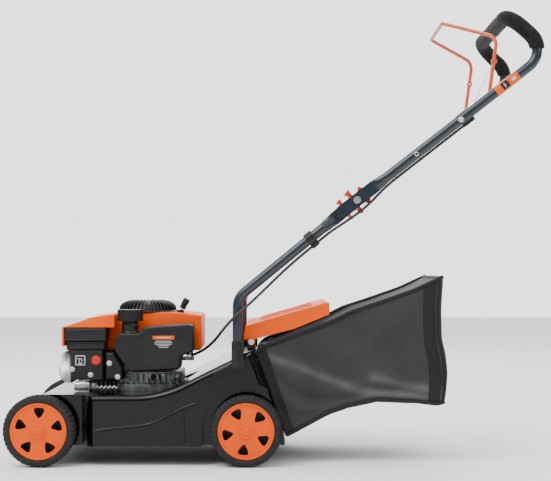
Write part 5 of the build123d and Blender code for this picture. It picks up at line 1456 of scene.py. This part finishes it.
    def hang(self, p, share, rise, half, sag):
        """Lets the panels hang in between their seams, with the creases of loaded cloth."""
        s = 1 if p.y > 0 else -1
        between = max(0.0, sin(pi * min(1, max(0, share)))) ** 0.7
        wall = max(0.0, sin(pi * rise)) ** 0.6
        if abs(p.y) > half * 0.93:
            fold = 0.0
            for offset, width, deep in ((0.30, 0.035, 0.8), (0.52, 0.05, 0.6), (0.74, 0.04, 0.7)):
                line = offset + 0.16 * (share - 0.5)
                fold += deep * exp(-(((rise - line) / width) ** 2))
            wander = noise.noise(Vector((p.x * 9, s * 2.0, p.z * 13)))
            fine = noise.noise(Vector((p.x * 34 + 5, s * 3.0, p.z * 22)))
            hollow = sag * between * wall * (0.7 + 0.5 * wander)
            drawn = self.ridge(p.x, p.z)
            relief = hollow * (1 - 0.8 * drawn) + 0.003 * fold * between * (1 - drawn) + 0.0016 * fine * wall
            p.y -= s * min(relief, 0.018)
        else:
            wander = noise.noise(Vector((p.x * 10, p.y * 9, 7.0)))
            lift = between * (1 - (abs(p.y) / half) ** 2)
            if rise > 0.5:
                p.z -= lift * (0.004 + 0.003 * wander)
            else:
                p.z -= lift * (0.003 + 0.004 * wander) * (0.5 if p.z < 0.08 else 1)
        return p

    def settle(self, bag, half):
        """Lets the cloth settle for a few frames, held at its mouth and seams, and caps how far it moves."""
        rest = [v.co.copy() for v in bag.data.vertices]
        held = bag.vertex_groups.new(name="held")
        for v in bag.data.vertices:
            ring = v.index // self.AROUND
            at_edge = abs(v.co.y) > half * 0.965 and self.near_seam(v.co)
            on_wire = ring < 2 or self.REAR_WIRE[0] <= ring <= self.REAR_WIRE[1]
            held.add([v.index], 1.0 if at_edge or on_wire else 0.0, "REPLACE")
        cloth = bag.modifiers.new("settle", "CLOTH")
        cloth.settings.quality = 4
        cloth.settings.mass = 0.25
        cloth.settings.tension_stiffness = 8
        cloth.settings.compression_stiffness = 8
        cloth.settings.bending_stiffness = 0.8
        cloth.settings.vertex_group_mass = "held"
        cloth.collision_settings.use_collision = False
        scene = bpy.context.scene
        frames = 12
        cloth.point_cache.frame_start = 1
        cloth.point_cache.frame_end = frames
        for number in range(1, frames + 1):
            scene.frame_set(number)
        graph = bpy.context.evaluated_depsgraph_get()
        moved = bpy.data.meshes.new_from_object(bag.evaluated_get(graph))
        limit = 0.009
        for v, start, settled in zip(bag.data.vertices, rest, moved.vertices):
            step = settled.co - start
            v.co = start + (step if step.length < limit else step.normalized() * limit)
        bpy.data.meshes.remove(moved)
        bag.modifiers.clear()
        bag.vertex_groups.clear()
        scene.frame_set(1)

    def near_seam(self, point):
        """True at the bag's mouth, along its long seams and at its rear corners."""
        edge = 0.012
        for line in (self.TOP, self.FOOT):
            for a, b in zip(line, line[1:]):
                a, b, p = Vector(a), Vector(b), Vector((point.x, point.z))
                t = max(0.0, min(1.0, (p - a).dot(b - a) / (b - a).length_squared))
                if (p - a.lerp(b, t)).length < edge:
                    return True
        mouth_a, mouth_b = Vector(self.TOP[0]), Vector(self.FOOT[0])
        p = Vector((point.x, point.z))
        t = max(0.0, min(1.0, (p - mouth_a).dot(mouth_b - mouth_a) / (mouth_b - mouth_a).length_squared))
        if (p - mouth_a.lerp(mouth_b, t)).length < edge:
            return True
        return point.x > 0.345

    def bindings(self, half):
        """Tape over the mouth, the long seams and round the rear panel."""
        reach = half + 0.0006
        tapes = []
        for s in (-1, 1):
            for line, name in ((self.TOP, "top"), (self.FOOT, "foot")):
                steps = 40
                spine = [self.point_on(line, i / steps) for i in range(steps + 1)]
                points = [Vector((p.x, s * (reach - 0.004), p.y)) for p in spine]
                tapes.append(self.tape(f"seam_{name}_{'left' if s < 0 else 'right'}", points, 0.0042))
        for share, name in ((0.004, "mouth"), (0.985, "rear")):
            ring = []
            for j in range(96):
                turn = 2 * pi * (j + 0.5) / 96
                ring.append(self.ring_point(share, turn, reach - 0.0015)[0])
            tapes.append(self.tape(f"binding_{name}", ring, 0.0045, True))
        made = join("bag_bindings", tapes)
        place_piece(made, "grass_bag", "bag_fabric")

    def tape(self, name, points, radius, cyclic=False):
        return tube(name, points, radius, "black_binding_tape", sides=8, cyclic=cyclic)


CLASSES = (
    MowerSizes,
    MowerColours,
    MOWER_OT_stage,
    MOWER_OT_finishes,
    MOWER_OT_cables,
    MOWER_OT_wheels,
    MOWER_OT_covers,
    MOWER_OT_tank,
    MOWER_OT_boxes,
    MOWER_OT_deck_trim,
    MOWER_OT_handle_trim,
    MOWER_OT_flap,
    MOWER_OT_bag,
)
STEPS = [made for made in CLASSES if issubclass(made, bpy.types.Operator)]


class MOWER_PT_panel(bpy.types.Panel):
    """Lists the mower's sizes, colours and pieces"""

    bl_idname = "MOWER_PT_panel"
    bl_label = "Push lawn mower"
    bl_space_type = "VIEW_3D"
    bl_region_type = "UI"
    bl_category = "Mower"

    def draw(self, context):
        for group in (context.scene.mower_sizes, context.scene.mower_colours):
            for key in group.__annotations__:
                self.layout.prop(group, key)
        for step in STEPS:
            self.layout.operator(step.bl_idname)


def register():
    """Registers the classes and the settings on the scene."""
    for made in (*CLASSES, MOWER_PT_panel):
        bpy.utils.register_class(made)
    bpy.types.Scene.mower_sizes = bpy.props.PointerProperty(type=MowerSizes)
    bpy.types.Scene.mower_colours = bpy.props.PointerProperty(type=MowerColours)


def unregister():
    """Removes what register added."""
    del bpy.types.Scene.mower_sizes
    del bpy.types.Scene.mower_colours
    for made in reversed((*CLASSES, MOWER_PT_panel)):
        bpy.utils.unregister_class(made)


def main():
    """Builds every piece in order."""
    register()
    for step in STEPS:
        group, name = step.bl_idname.split(".")
        getattr(getattr(bpy.ops, group), name)()


if __name__ == "__main__":
    main()
